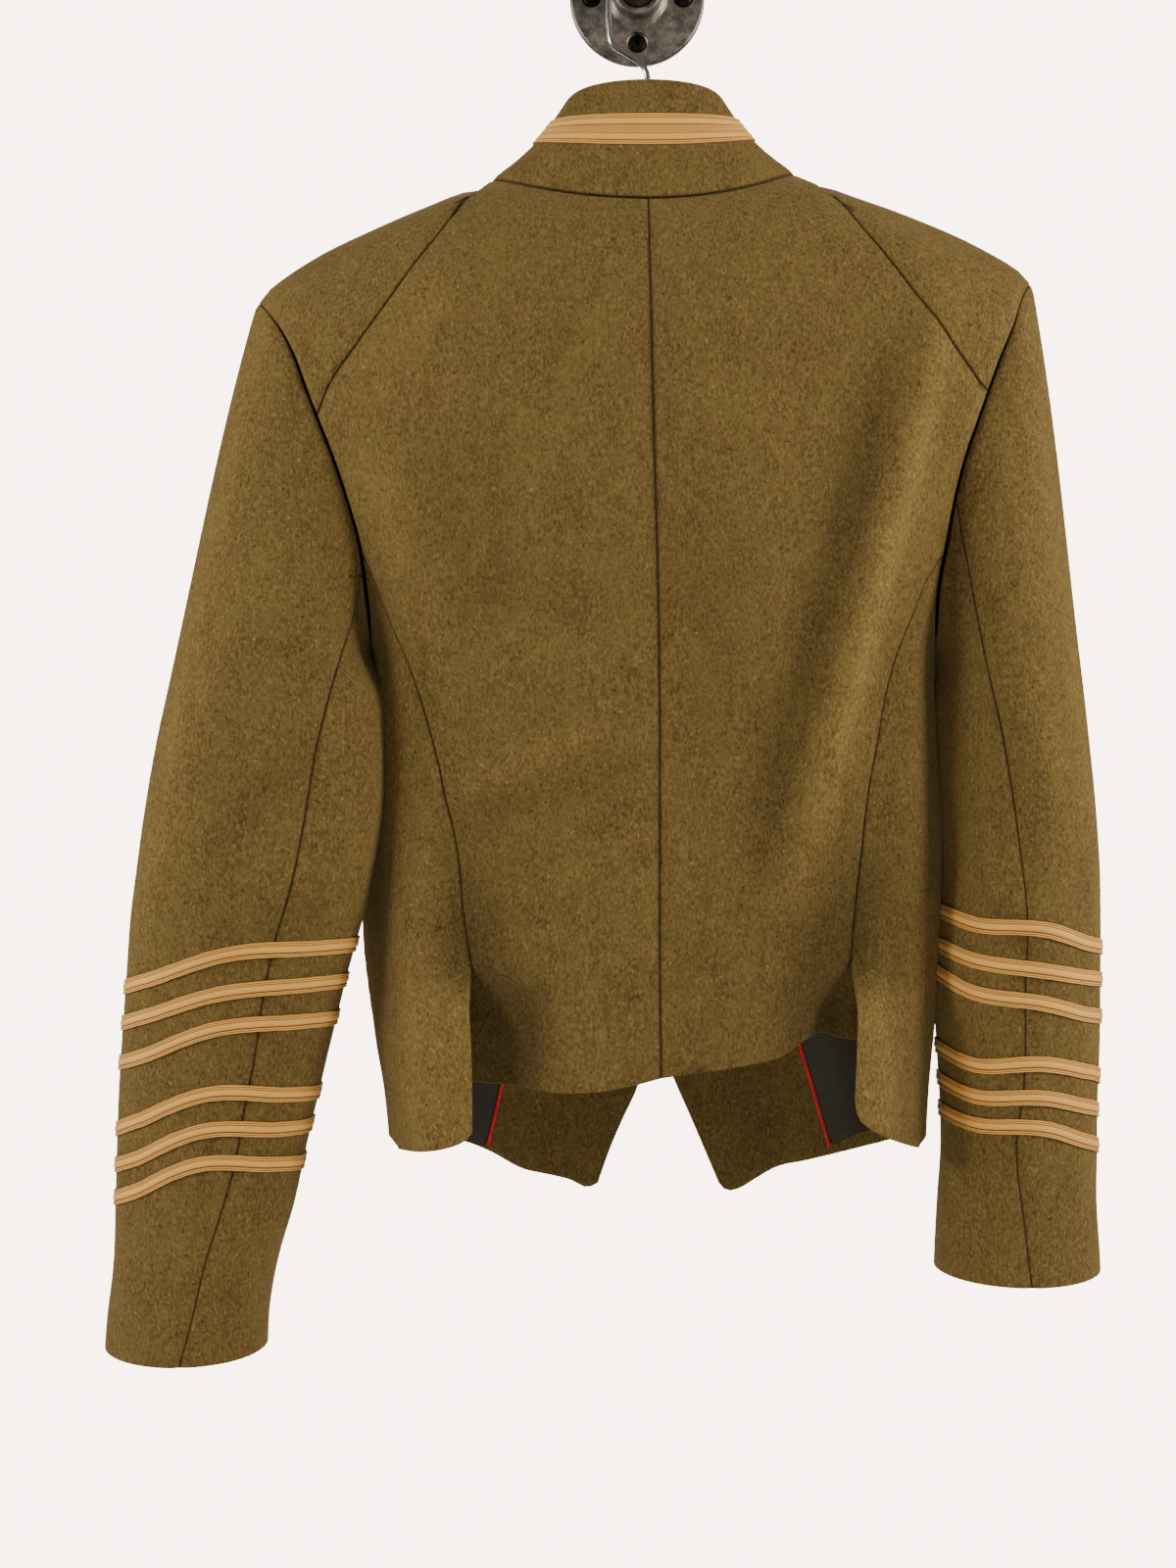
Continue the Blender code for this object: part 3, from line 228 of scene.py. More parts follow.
def castFinish(name, stops, grainMm, roughness, metallic, bumpMm):
    # Sand-cast iron or blackened steel: a pebbled skin under dark paint, rubbed paler where it stands up
    finish, tree, shader = newFinish(name, {"Metallic": metallic})
    place = coordinates(tree)
    pebble = noise(tree, place, grainMm, 4.0)
    stain = noise(tree, place, grainMm * 9)
    feed(tree, colourRamp(tree, blend(tree, 0.5, pebble, stain), stops), shader, "Base Color")
    feed(tree, stretch(tree, stain, 0.35, 0.65, roughness - 0.08, roughness + 0.10), shader, "Roughness")
    emboss(tree, pebble, 0.6, bumpMm, shader)
    return finish


def wireFinish(name):
    # Chromed steel wire, drawn and bent: bright, with faint rubbing
    finish, tree, shader = newFinish(name, {"Base Color": linearColour("#D8D8D6"), "Metallic": 1.0})
    rub = noise(tree, coordinates(tree), 3.0)
    feed(tree, stretch(tree, rub, 0.0, 1.0, 0.10, 0.26), shader, "Roughness")
    return finish


def beechFinish(name):
    # Lacquered beech: pale, with fine grain that runs along the arms
    finish, tree, shader = newFinish(name, {"Roughness": 0.42, "Coat Weight": 0.3, "Coat Roughness": 0.2})
    grain = noise(tree, coordinates(tree, (0.08, 1.0, 1.0)), 1.2, 5.0)
    ramp = colourRamp(tree, grain, [(0.3, "#8E5F38"), (0.5, "#B58556"), (0.7, "#CDA377")])
    feed(tree, ramp, shader, "Base Color")
    return finish


def stops(places, colours):
    # A ramp's places, each with its colour
    return list(zip(places, colours.split()))


# Woven: stops, thread in mm, roughness, sheen, bump in mm. Cast: stops, grain in mm, roughness, metal, bump
wovenAt, castAt = (0.2, 0.5, 0.8), (0.3, 0.5, 0.7)
finishes = {
    "melton": meltonFinish("woolMelton", meltonLook),
    "braid": braidFinish("wovenBraid", braidLook),
    "piping": wovenFinish("redCord", stops(wovenAt, "#C0141C #E01C26 #F43A3C"), 0.9, 0.7, 0.2, 0.3),
    "lining": wovenFinish("satinLining", stops(wovenAt, "#15150A #262510 #38361C"), 0.8, 0.55, 0.02, 0.12),
    "iron": castFinish("castIron", stops(castAt, "#484544 #77726D #A39C96"), 0.9, 0.42, 0.75, 0.25),
    "pipe": castFinish("rolledPipe", stops(castAt, "#2E2B28 #4A4642 #625D57"), 1.6, 0.36, 0.8, 0.10),
    "screw": castFinish("blackScrewSteel", stops(castAt, "#161514 #242220 #34312E"), 0.8, 0.35, 0.8, 0.05),
    "wire": wireFinish("chromedWire"),
    "wood": beechFinish("lacqueredBeech"),
}
print("finishes made")


# Curves and grids

def table(names, rows):
    # Columns by name, in metres, from rows in millimetres
    columns = np.array(rows, float).T * mm
    return dict(zip(names.split(), columns))


def cubic(f, start, leave, end, arrive):
    # Hermite's cubic between two values, with the slopes that it leaves and arrives with
    first = (1 + 2 * f) * (1 - f) ** 2 * start + f * (1 - f) ** 2 * leave
    return first + f ** 2 * (3 - 2 * f) * end - f ** 2 * (1 - f) * arrive


def spline(knots, values, at):
    # Cubic between knots, the slope at each knot taken from its neighbours
    order = np.argsort(knots)
    knots, values = np.asarray(knots)[order], np.asarray(values)[order]
    slopes = np.gradient(values, knots)
    at = np.clip(at, knots[0], knots[-1])
    i = np.clip(np.searchsorted(knots, at) - 1, 0, len(knots) - 2)
    step = knots[i + 1] - knots[i]
    return cubic((at - knots[i]) / step, values[i], step * slopes[i], values[i + 1], step * slopes[i + 1])


def ease(f):
    # 3f^2 - 2f^3 between 0 and 1
    f = np.clip(f, 0.0, 1.0)
    return f * f * (3 - 2 * f)


def creaseBell(across, down, run, width, fade):
    # A bell across a line that starts at the origin, fading out over a share of its run at either end
    along = (across * run[0] + down * run[1]) / (run @ run)
    aside = (across * run[1] - down * run[0]) / np.linalg.norm(run)
    taper = ease((along + fade) / (2 * fade)) * ease((1 + fade - along) / (2 * fade))
    return taper * np.exp(-(aside / width) ** 2)


def pack(*parts):
    # Points from their coordinates, or faces from their corners, each spread over the shape of all
    return np.stack(np.broadcast_arrays(*parts), axis=-1)


def unit(vectors):
    # Each vector over its length
    return vectors / np.linalg.norm(vectors, axis=-1, keepdims=True)


def findRoot(function, low, high, rounds=26):
    # Where an increasing function crosses zero, by halving
    low, high = np.array(low, float), np.array(high, float)
    for _ in range(rounds):
        middle = (low + high) / 2
        below = function(middle) < 0
        low = np.where(below, middle, low)
        high = np.where(below, high, middle)
    return (low + high) / 2


def surfaceNormals(surface, first, second, reach=2e-4):
    # Cross product of the small steps along the surface's two ways
    across = surface(first + reach, second) - surface(first - reach, second)
    up = surface(first, second + reach) - surface(first, second - reach)
    return unit(np.cross(up, across))


def smoothRun(points, step):
    # Points about a step apart on a smooth curve through the given ones, by length along it
    points = np.asarray(points, float)
    length = runLength(points)
    at = np.linspace(0, length[-1], max(2, round(length[-1] / step) + 1))
    return pack(*[spline(length, column, at) for column in points.T])


def tubeFaces(rows, columns, looped=False):
    # Quads of a grid that closes round its columns, and along its rows when looped. Else each end has a face
    i = np.arange(rows if looped else rows - 1)[:, None]
    k = np.arange(columns)[None, :]
    nextI, nextK = (i + 1) % rows, (k + 1) % columns
    quads = pack(i * columns + k, nextI * columns + k, nextI * columns + nextK, i * columns + nextK)
    ends = [list(range(columns)), list(range((rows - 1) * columns, rows * columns))[::-1]]
    return quads.reshape(-1, 4).tolist() + ([] if looped else ends)


def runLength(points):
    # Length along a run of points, from its first one to each
    return np.concatenate([[0], np.cumsum(np.linalg.norm(np.diff(points, axis=0), axis=1))])


def addObject(name, data):
    # An object that shows in the scene
    made = bpy.data.objects.new(name, data)
    bpy.context.scene.collection.objects.link(made)
    return made


def makePiece(name, points, faces, finish, slot, replaces, sharp=50, marks=None):
    # A mesh object that rides on the root, faces outwards. Marks are values by point that the finish reads
    mesh = bpy.data.meshes.new(name)
    mesh.from_pydata(np.asarray(points).tolist(), [], faces)
    mesh.update()
    mesh.calc_loop_triangles()
    corners = np.empty(len(mesh.loop_triangles) * 3, np.int32)
    mesh.loop_triangles.foreach_get("vertices", corners)
    a, b, c = np.asarray(points)[corners.reshape(-1, 3).T]
    if np.einsum("ij,ij->", a, np.cross(b, c)) < 0:
        mesh.flip_normals()
    mesh.shade_smooth()
    mesh.set_sharp_from_angle(angle=math.radians(sharp))
    for mark, values in (marks or {}).items():
        layer = mesh.attributes.new(mark, "FLOAT", "POINT")
        layer.data.foreach_set("value", np.asarray(values, np.float32))
    mesh.materials.append(finish)
    piece = addObject(name, mesh)
    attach(piece, "root")
    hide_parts(*replaces)
    return piece


# Body form, as the cut panels hang

bodyForm = {
    "rings": table("back  side_left side_right front left right rear fore middle", [
        (-173, -150, -146, -222,  -93.0,  95.0, -160, -38,  3.0),
        (-190, -163, -158, -236, -124.0, 125.0, -167, -36,  3.2),
        (-213, -178, -171, -252, -160.0, 162.0, -173, -34,  3.5),
        (-238, -199, -190, -268, -203.0, 206.0, -177, -32,  4.0),
        (-262, -224, -212, -284, -235.5, 239.5, -179, -31,  4.5),
        (-310, -285, -275, -322, -229.0, 233.0, -181, -30,  5.5),
        (-360, -350, -345, -366, -203.0, 209.0, -183, -29,  7.0),
        (-430, -430, -430, -430, -166.5, 180.8, -184, -28,  8.5),
        (-480, -480, -480, -480, -167.0, 181.0, -184, -28,  9.0),
        (-540, -540, -540, -540, -169.0, 184.6, -184, -28,  9.0),
        (-612, -612, -612, -612, -171.5, 183.6, -183, -28,  9.0),
        (-660, -660, -660, -660, -166.0, 180.6, -182, -29,  9.5),
        (-705, -705, -705, -705, -158.0, 176.5, -181, -30, 10.0),
        (-745, -745, -745, -745, -154.0, 174.5, -180, -31, 10.0),
        (-800, -800, -800, -800, -150.0, 173.0, -180, -32, 10.0),
    ]),
    "sideDepth": -0.100,
    "sideFullness": 0.20,
    "backFullness": 0.24,
    "girth": 0.95,
    "wall": 0.0022,
    "seamGap": 0.00001,     # pressed together here, where the solids keep a hair apart
    "foldFade": 0.25,
}

seams = {
    "diagonal": table("height left right", [
        (-165, -105.0, 116.0), (-185, -116.0, 127.5), (-212, -134.0, 147.0), (-238, -151.5, 165.5),
        (-262, -169.0, 183.0), (-286, -186.5, 203.0), (-301, -193.0, 213.0),
    ]),
    "armhole": table("height left right", [
        (-200, -257.0, 251.0), (-212, -246.0, 239.5), (-224, -235.5, 230.5), (-247, -217.0, 221.0),
        (-264, -207.5, 213.5), (-284, -200.0, 206.0), (-302, -193.0, 199.5), (-323, -184.5, 192.0),
        (-351, -175.0, 185.0), (-377, -168.0, 181.0), (-400, -165.5, 177.5), (-415, -165.0, 177.5),
        (-430, -166.0, 180.5),
    ]),
    "sideBack": table("height left right", [
        (-383, -166.8, 179.5), (-397, -160.5, 169.5), (-415, -153.5, 162.0), (-443, -141.0, 150.5),
        (-466, -132.5, 144.0), (-495, -123.5, 138.0), (-522, -117.0, 132.5), (-565, -109.0, 129.0),
        (-590, -107.5, 127.0), (-635, -102.0, 124.5), (-693, -99.0, 122.0), (-725, -99.0, 121.0),
    ]),
    "sideFront": table("height left right", [
        (-400, -166.0, 178.0), (-430, -158.0, 171.0), (-520, -148.0, 163.0), (-620, -142.0, 158.0),
        (-760, -132.0, 152.0),
    ]),
    "frontEdge": table("height left right", [
        (-640, 9.5, 9.5), (-672, 6.5, 9.5), (-717, -1.0, 26.0), (-736, -10.0, 34.5), (-757, -19.0, 43.5),
        (-777, -26.0, 52.0),
    ]),
    "piping": table("height left right", [
        (-600, -63.0, 79.0), (-692, -84.0, 106.0), (-719, -90.0, 114.0), (-750, -97.5, 123.0),
        (-762, -100.5, 127.0),
    ]),
    "shoulderCorner": {left: -0.301, right: -0.286},
    "armholeTop": -0.262,
    "armholeFoot": -0.430,
    "sideBackTop": -0.383,
    "sideFrontTop": -0.400,
    "centreHem": -0.690,
}

hems = {
    "back": {
        left: [(-5, -694), (-28, -698), (-49, -699), (-82, -697), (-99, -697), (-113, -696)],
        right: [(39, -686), (64, -682), (79, -679), (91, -673), (101, -668), (109, -666), (122, -670),
                (136, -672)],
    },
    "sideBack": {
        left: [(-99, -722), (-103, -727), (-113, -732), (-129, -736), (-146, -738)],
        right: [(122, -706), (124, -714), (130, -720), (140, -726), (154, -732), (166, -737)],
    },
    "sideFront": {left: [(-146, -741), (-132.8, -744)], right: [(166, -742), (152.6, -748)]},
    "front": {
        left: [(-132.8, -744), (-108, -750), (-97, -755), (-73, -768), (-60, -771), (-44, -775), (-32, -780),
               (-26, -777)],
        right: [(152.6, -748), (138, -753), (107, -762), (90, -766), (76, -774), (64, -781), (57, -782),
                (52, -777)],
    },
    "lining": {left: [(-100.3, -752), (-131, -741)], right: [(126, -750.5), (134, -746.5), (147, -739)]},
    "insideTop": -0.605,
    "edgeMargin": 0.002,
    # Where the front edge leaves the middle, its last place above the hem, and steps between a seam's first
    # or last point and the corner that it meets
    "frontStraight": -0.640, "frontCurve": (-0.646, -0.768), "cornerStep": 0.004, "ventStep": 0.006,
    "splitStep": 0.008, "underEdgeTop": 0.020,
}

# The vent, above "open" a seam that is drawn in, below "full" a back hanging well behind the side panel
ventLap = {
    "top": -0.515, "open": -0.622, "full": -0.655, "width": 0.014,
    "draw": {left: 0.0080, right: 0.0115}, "drawSpread": 0.026,    # the seam above it pulled in
    "sink": {left: 0.0190, right: 0.0190}, "spread": {left: 0.034, right: 0.036},
    "lift": 0.0050, "liftSpread": 0.020,
}

# Soft folds on the body, from one end to the other. The front ones are a guess like those of the back
bodyFolds = {
    "back": [    # x, height, x, height, width, rise
        (168, -268, 92, -555, 11, 9.0),
        (143, -270, 66, -565, 19, -7.0),
        (150, -440, 140, -560, 10, -2.0),
        (-164, -505, -160, -650, 10, -5.0),
        (-130, -560, -126, -735, 13, 6.0),
        (136, -600, 140, -735, 12, 4.0),
        (-112, -524, -10, -485, 8, 2.8),
        (-106, -546, -4, -510, 10, -2.6),
        (-60, -580, -6, -552, 9, 1.9),
        (-84, -430, -16, -456, 14, 1.4),
        (-90, -400, -30, -430, 18, -1.4),
        (92, -600, 106, -665, 24, -4.5),
        (24, -340, 40, -520, 30, -2.2),
        (-156, -322, -128, -440, 16, 3.0),
        (-122, -318, -86, -430, 24, -2.4),
        (30, -296, 92, -318, 17, 1.2),
        (-62, -640, -78, -702, 12, -3.2),
        (-34, -640, -42, -700, 13, 2.2),
        (32, -610, 40, -690, 14, -1.8),
        (-118, -215, -152, -300, 26, 2.6),
    ],
    "front": [
        (-150, -330, -96, -470, 16, 3.4),
        (156, -322, 98, -480, 18, 3.0),
        (-130, -560, -60, -600, 12, -1.8),
        (44, -540, 128, -590, 14, -1.6),
        (-90, -440, -60, -540, 16, 1.5),
        (60, -440, 44, -520, 15, -1.4),
        (-34, -640, -46, -720, 10, 1.4),
        (70, -650, 76, -730, 10, 1.4),
    ],
}


def bodySection(height):
    # Every column of the body's rings at a height, by the spline
    rings = bodyForm["rings"]
    return {name: spline(rings["back"], column, height) for name, column in rings.items()}


def torso(turn, height, at=None):
    # Two half ellipses, front and back, fuller at their sides. The height goes from middle to side with sin^2
    turn, height = np.broadcast_arrays(np.asarray(turn, float), np.asarray(height, float))
    at = at or bodySection(height)
    sine, cosine = np.sin(fullTurn * turn), np.cos(fullTurn * turn)
    onLeft, onBack = sine > 0, cosine > 0
    sideDepth = bodyForm["sideDepth"]
    reach = np.where(onLeft, at["middle"] - at[left], at[right] - at["middle"])
    depth = np.where(onBack, sideDepth - at["rear"], at["fore"] - sideDepth)
    x = at["middle"] - reach * sine * (1 + bodyForm["sideFullness"] * cosine ** 2)
    y = sideDepth - depth * cosine * (1 + bodyForm["backFullness"] * sine ** 2)
    middleZ = np.where(onBack, at["back"], at["front"])
    sideZ = np.where(onLeft, at["side_left"], at["side_right"])
    z = middleZ + (sideZ - middleZ) * sine ** 2
    return pack(x, y, z)


def seamX(name, side, height):
    # A seam's x at a real height, by the spline
    return spline(seams[name]["height"], seams[name][side], height)


def foldRise(points):
    # The sum of the folds of the half, back or front, that a point is in
    x, z, behind = points[..., 0], points[..., 2], points[..., 1] < bodyForm["sideDepth"]
    total = np.zeros(x.shape)
    for part, rows in bodyFolds.items():
        for x0, z0, x1, z1, width, rise in rows:
            run = np.array([x1 - x0, z1 - z0]) * mm
            bell = creaseBell(x - x0 * mm, z - z0 * mm, run, width * mm, bodyForm["foldFade"])
            total += np.where(behind == (part == "back"), rise * mm * bell, 0.0)
    return total


def bellAtSeam(points, side, spread):
    # A bell of the distance in x from the side-back seam, on the back half
    x, z = points[..., 0], points[..., 2]
    bell = np.exp(-((x - seamX("sideBack", side, z)) / spread) ** 2)
    return bell * (points[..., 1] < bodyForm["sideDepth"])


def lapRise(points, side, kind):
    # Above the vent both panels are drawn in at the seam. Once it is open the back sinks and the side lifts
    lap = ventLap
    z = points[..., 2]
    drawn = lap["draw"][side] * ease((lap["top"] - z) / (lap["top"] - lap["open"]))
    freed = ease((lap["open"] - z) / (lap["open"] - lap["full"]))
    drawn = -drawn * bellAtSeam(points, side, lap["drawSpread"])
    if kind == "back":
        return drawn * (1 - freed) - freed * lap["sink"][side] * bellAtSeam(points, side, lap["spread"][side])
    if kind == "side":
        return drawn * (1 - freed) + freed * lap["lift"] * bellAtSeam(points, side, lap["liftSpread"])
    return 0 * z


def panelRise(kind, side):
    # The folds and the panel's part of the vent lap
    def rise(turn, height):
        points = torso(turn, height)
        return foldRise(points) + lapRise(points, side, kind)
    return rise


def panelSurface(kind, side):
    # The torso, moved out along its normals by the panel's rise
    rise = panelRise(kind, side)

    def surface(turn, height):
        return torso(turn, height) + surfaceNormals(torso, turn, height) * rise(turn, height)[..., None]
    return surface


def findPlace(x, z, side, front=False):
    # Turn and ring height of body points with a given x and real height, by halving and correcting in turn
    x, z = np.asarray(x, float), np.asarray(z, float)
    sign = towards[side]
    low, high = (0.25, 0.5) if front else (0.0, 0.25)
    height = z.copy()
    for _ in range(9):
        at = bodySection(height)

        def miss(turn):
            return (torso(sign * turn, height, at)[..., 0] - x) * (sign if front else -sign)
        turn = findRoot(miss, np.full(x.shape, low), np.full(x.shape, high))
        height = height + z - torso(sign * turn, height, at)[..., 2]
    return pack(sign * turn, height)


def armhole(angle, side):
    # Turn and ring height on the armhole. Angle 0 is the shoulder tip, pi/2 the back, pi the underarm
    angle = np.asarray(angle, float)
    top, foot = seams["armholeTop"], seams["armholeFoot"]
    height = (top + foot) / 2 + (top - foot) / 2 * np.cos(angle)
    onBack = np.sin(angle) >= 0
    at = bodySection(height)

    def miss(fromSide):
        turn = np.where(onBack, 0.25 - fromSide, 0.25 + fromSide)
        points = torso(towards[side] * turn, height, at)
        return (seamX("armhole", side, points[..., 2]) - points[..., 0]) * outward[side]
    fromSide = findRoot(miss, np.zeros(angle.shape), np.full(angle.shape, 0.2))
    turn = np.where(onBack, 0.25 - fromSide, 0.25 + fromSide)
    return pack(towards[side] * turn, height)


def armholeAngle(z, side, front=False):
    # The angle on the armhole at a real height
    def miss(angle):
        place = armhole(fullTurn - angle if front else angle, side)
        return z - torso(place[..., 0], place[..., 1])[..., 2]
    angle = findRoot(miss, 0.05, math.pi)
    return float(fullTurn - angle if front else angle)


sleeveForm = {
    left: table("height outer inner depth girth", [
        (-450, -280.5, -160.5, -138, 354), (-489, -288.0, -158.5, -146, 354),
        (-537, -296.2, -159.0, -148, 354), (-571, -301.0, -163.8, -147, 352),
        (-596, -305.0, -168.6, -143, 349), (-632, -309.5, -178.0, -134, 344),
        (-667, -313.2, -186.2, -128, 337), (-703, -316.5, -195.0, -122, 329),
        (-738, -318.5, -203.5, -118, 319), (-774, -320.0, -211.5, -115, 308),
        (-810, -321.5, -222.0, -113, 298), (-845, -326.0, -227.8, -111, 293),
        (-861, -327.2, -228.4, -111, 293),
    ]),
    right: table("height outer inner depth girth", [
        (-450, 265.8, 182.5, -113, 344), (-489, 268.7, 183.8, -116, 352),
        (-537, 272.6, 186.2, -118, 358), (-573, 274.8, 187.7, -118, 357),
        (-593, 275.3, 186.0, -118, 355), (-632, 275.9, 182.6, -117, 349),
        (-678, 276.4, 183.9, -115, 338), (-714, 276.4, 185.7, -112, 327),
        (-740, 277.0, 185.7, -111, 318), (-775, 277.6, 182.8, -110, 306),
        (-798, 279.4, 181.0, -110, 298), (-814, 280.4, 180.0, -110, 297),
    ]),
    "cuff": {left: -0.861, right: -0.814},
    "top": {left: -0.224, right: -0.212},
    "upperArm": -0.475,
    "capRoll": 0.06,
    "underarmRoll": 0.35,
    "setIn": 0.0001,
    "seamTurn": 0.028,
    "cuffDip": 0.004,
    "frontSeamTurn": (0.665, 0.640),
    "elbowTop": {left: -0.396, right: -0.352},
    "girth": 0.36,
    "creaseFade": 0.3,
}

elbowSeam = {
    left: table("height x", [
        (-383, -166.5), (-402, -168.0), (-444, -176.8), (-492, -187.8), (-546, -197.5), (-582, -205.6),
        (-610, -214.2), (-632, -220.0), (-685, -229.2), (-714, -235.5), (-743, -240.7), (-771, -248.7),
        (-800, -257.9), (-833, -266.0), (-866, -275.0),
    ]),
    right: table("height x", [
        (-345, 185.0), (-361, 186.6), (-393, 191.8), (-447, 200.4), (-502, 209.6), (-550, 216.5),
        (-599, 222.0), (-636, 221.5), (-698, 221.8), (-731, 219.0), (-751, 220.5), (-773, 224.0),
        (-825, 231.5),
    ]),
}

# Creases on the sleeves, in turns round the sleeve and heights along it
sleeveFolds = {
    left: [    # turn, height, turn, height, width as a turn, rise
        (0.15, -430, 0.10, -600, 0.045, 1.8),
        (0.24, -420, 0.20, -540, 0.040, -1.4),
        (0.34, -500, 0.22, -556, 0.032, -1.7),
        (0.37, -545, 0.22, -604, 0.030, 1.4),
        (0.36, -590, 0.24, -628, 0.028, -1.2),
        (0.08, -640, 0.17, -790, 0.050, -1.3),
        (0.20, -700, 0.24, -850, 0.040, 1.0),
        (0.50, -270, 0.50, -600, 0.085, 4.6),
        (0.72, -470, 0.62, -560, 0.040, 1.5),
        (0.82, -560, 0.70, -640, 0.045, -1.3),
        (0.88, -640, 0.84, -780, 0.050, 0.9),
    ],
    right: [
        (0.10, -440, 0.08, -700, 0.040, 2.2),
        (0.18, -430, 0.15, -640, 0.040, -1.3),
        (0.33, -470, 0.24, -545, 0.035, -1.5),
        (0.37, -545, 0.26, -600, 0.030, 1.3),
        (0.35, -590, 0.26, -622, 0.026, -1.0),
        (0.20, -640, 0.16, -790, 0.050, -1.2),
        (0.27, -690, 0.25, -800, 0.035, 0.9),
        (0.50, -260, 0.50, -740, 0.075, 4.4),
        (0.74, -450, 0.63, -540, 0.040, 1.5),
        (0.84, -540, 0.72, -640, 0.045, -1.2),
        (0.90, -650, 0.86, -770, 0.050, 1.0),
    ],
}


def armholeStops(side):
    # The angles on the armhole where a seam meets it
    return {
        "corner": armholeAngle(seams["shoulderCorner"][side], side),
        "vent": armholeAngle(seams["sideBackTop"], side),
        "split": armholeAngle(seams["sideFrontTop"], side, front=True),
        "elbow": armholeAngle(sleeveForm["elbowTop"][side], side),
        "front": fullTurn * sleeveForm["frontSeamTurn"][0],
    }


stopsOf = {side: armholeStops(side) for side in sides}


def arc(start, end, step):
    # Even steps from start to end, each about as long as the step
    return np.linspace(start, end, max(2, round(abs(end - start) / step) + 1))


def armholeAngles(side, start, end, step=0.045):
    # The armhole's angles from start to end. Body and sleeve share them, so that their edges agree
    stops = sorted([0.0, *stopsOf[side].values(), fullTurn])
    shared = np.concatenate([arc(a, b, step)[:-1] for a, b in zip(stops, stops[1:])])
    turns = np.concatenate([shared - fullTurn, shared, shared + fullTurn])
    low, high = min(start, end) - 1e-6, max(start, end) + 1e-6
    chosen = turns[(turns > low) & (turns < high)]
    return chosen if end > start else chosen[::-1]


def sleeveRing(turn, height, side):
    # An ellipse with the ring's width and girth, a little lower behind at the cuff
    rings = sleeveForm[side]
    at = {name: spline(rings["height"], column, height) for name, column in rings.items()}
    across = (at["outer"] - at["inner"]) / 2
    deep = np.sqrt(2 * (at["girth"] / fullTurn) ** 2 - across ** 2)
    x = (at["outer"] + at["inner"]) / 2 + across * np.cos(fullTurn * turn)
    y = at["depth"] - deep * np.sin(fullTurn * turn)
    nearCuff = ease((sleeveForm["cuff"][side] + 0.06 - height) / 0.06)
    return pack(x, y, height - sleeveForm["cuffDip"] * nearCuff * np.sin(fullTurn * turn))


def plainSleeve(turn, height, side):
    # Rings below the upper arm. Above, a cubic from each armhole point to the ring, rolled out at its start
    form = sleeveForm
    turn, height = np.broadcast_arrays(np.asarray(turn, float), np.asarray(height, float))
    upper, top = form["upperArm"], form["top"][side]
    lower = sleeveRing(turn, np.minimum(height, upper), side)
    place = armhole(fullTurn * (turn % 1.0), side)
    start = torso(place[..., 0], place[..., 1]) + np.array([outward[side] * form["setIn"], 0.0, 0.0])
    end = sleeveRing(turn, np.full(turn.shape, upper), side)
    below = sleeveRing(turn, np.full(turn.shape, upper - 0.004), side)
    f = np.clip((top - height) / (top - upper), 0, 1)[..., None]
    span = np.linalg.norm(end - start, axis=-1, keepdims=True)
    angle = fullTurn * turn
    above, beneath = 0.5 + 0.5 * np.cos(angle), 0.5 - 0.5 * np.cos(angle)
    sideways = outward[side] * (form["capRoll"] * above + form["underarmRoll"] * beneath ** 2)
    roll = pack(sideways, -0.6 * form["capRoll"] * np.sin(angle), 0 * angle)
    leave = end - start + span * roll
    arrive = span * unit(below - end)
    return np.where((height > upper)[..., None], cubic(f, start, leave, end, arrive), lower)


def sleeveNormals(turn, height, side):
    # Outward normals, turned near the armhole so that the wall stays beside the body's wall
    own = surfaceNormals(lambda a, b: plainSleeve(a, b, side), turn, height) * outward[side]
    angle = fullTurn * (turn % 1.0)
    here, there = armhole(angle, side), armhole(angle + 0.01, side)
    run = unit(torso(there[..., 0], there[..., 1]) - torso(here[..., 0], here[..., 1]))
    intoPanel = np.cross(surfaceNormals(torso, here[..., 0], here[..., 1]), run)
    centre = torso(*armhole(np.array(math.pi), side)) * 0.5 + torso(*armhole(np.array(0.0), side)) * 0.5
    facing = np.sum((torso(here[..., 0], here[..., 1]) - centre) * intoPanel, axis=-1, keepdims=True)
    intoPanel = intoPanel * np.sign(facing)
    crossing = np.maximum(-np.sum(own * intoPanel, axis=-1, keepdims=True), 0)
    held = unit(own + crossing * intoPanel)
    near = 1 - ease((sleeveForm["top"][side] - height) / sleeveForm["seamTurn"])[..., None]
    return unit(held * near + own * (1 - near))


def sleeveRise(turn, height, side):
    # The sum of the creases, each measured along the cloth round the sleeve and down it
    total = np.zeros(np.broadcast(turn, height).shape)
    girth, fade = sleeveForm["girth"], sleeveForm["creaseFade"]
    for turn0, height0, turn1, height1, width, rise in sleeveFolds[side]:
        run = np.array([(turn1 - turn0) * girth, (height1 - height0) * mm])
        around = ((turn - turn0 + 0.5) % 1.0 - 0.5) * girth
        bell = creaseBell(around, height - height0 * mm, run, width * girth, fade)
        total = total + rise * mm * bell
    return total


def sleeveSurface(side):
    # The plain sleeve of one side
    def surface(turn, height):
        return plainSleeve(turn, height, side)
    return surface


# Cutting and laying cloth

def drop(start, end, step=0.006):
    # Even heights from start to end, each about a step apart
    return np.linspace(start, end, max(2, round(abs(end - start) / step) + 1))


def upright(turn, heights):
    # One turn at each of the heights
    return pack(turn, heights)


def neckLine(start, end, count):
    # Even turns along the neck ring
    return pack(np.linspace(start, end, count), bodyForm["rings"]["back"][0])


def seamLine(name, side, heights, front=False):
    # Places of a seam at real heights
    return findPlace(seamX(name, side, heights), heights, side, front)


def hemLine(points, side, front=False):
    # Places of a smooth run through points given in mm
    run = smoothRun(np.array(points, float) * mm, 0.005)
    return findPlace(run[:, 0], run[:, 1], side, front)


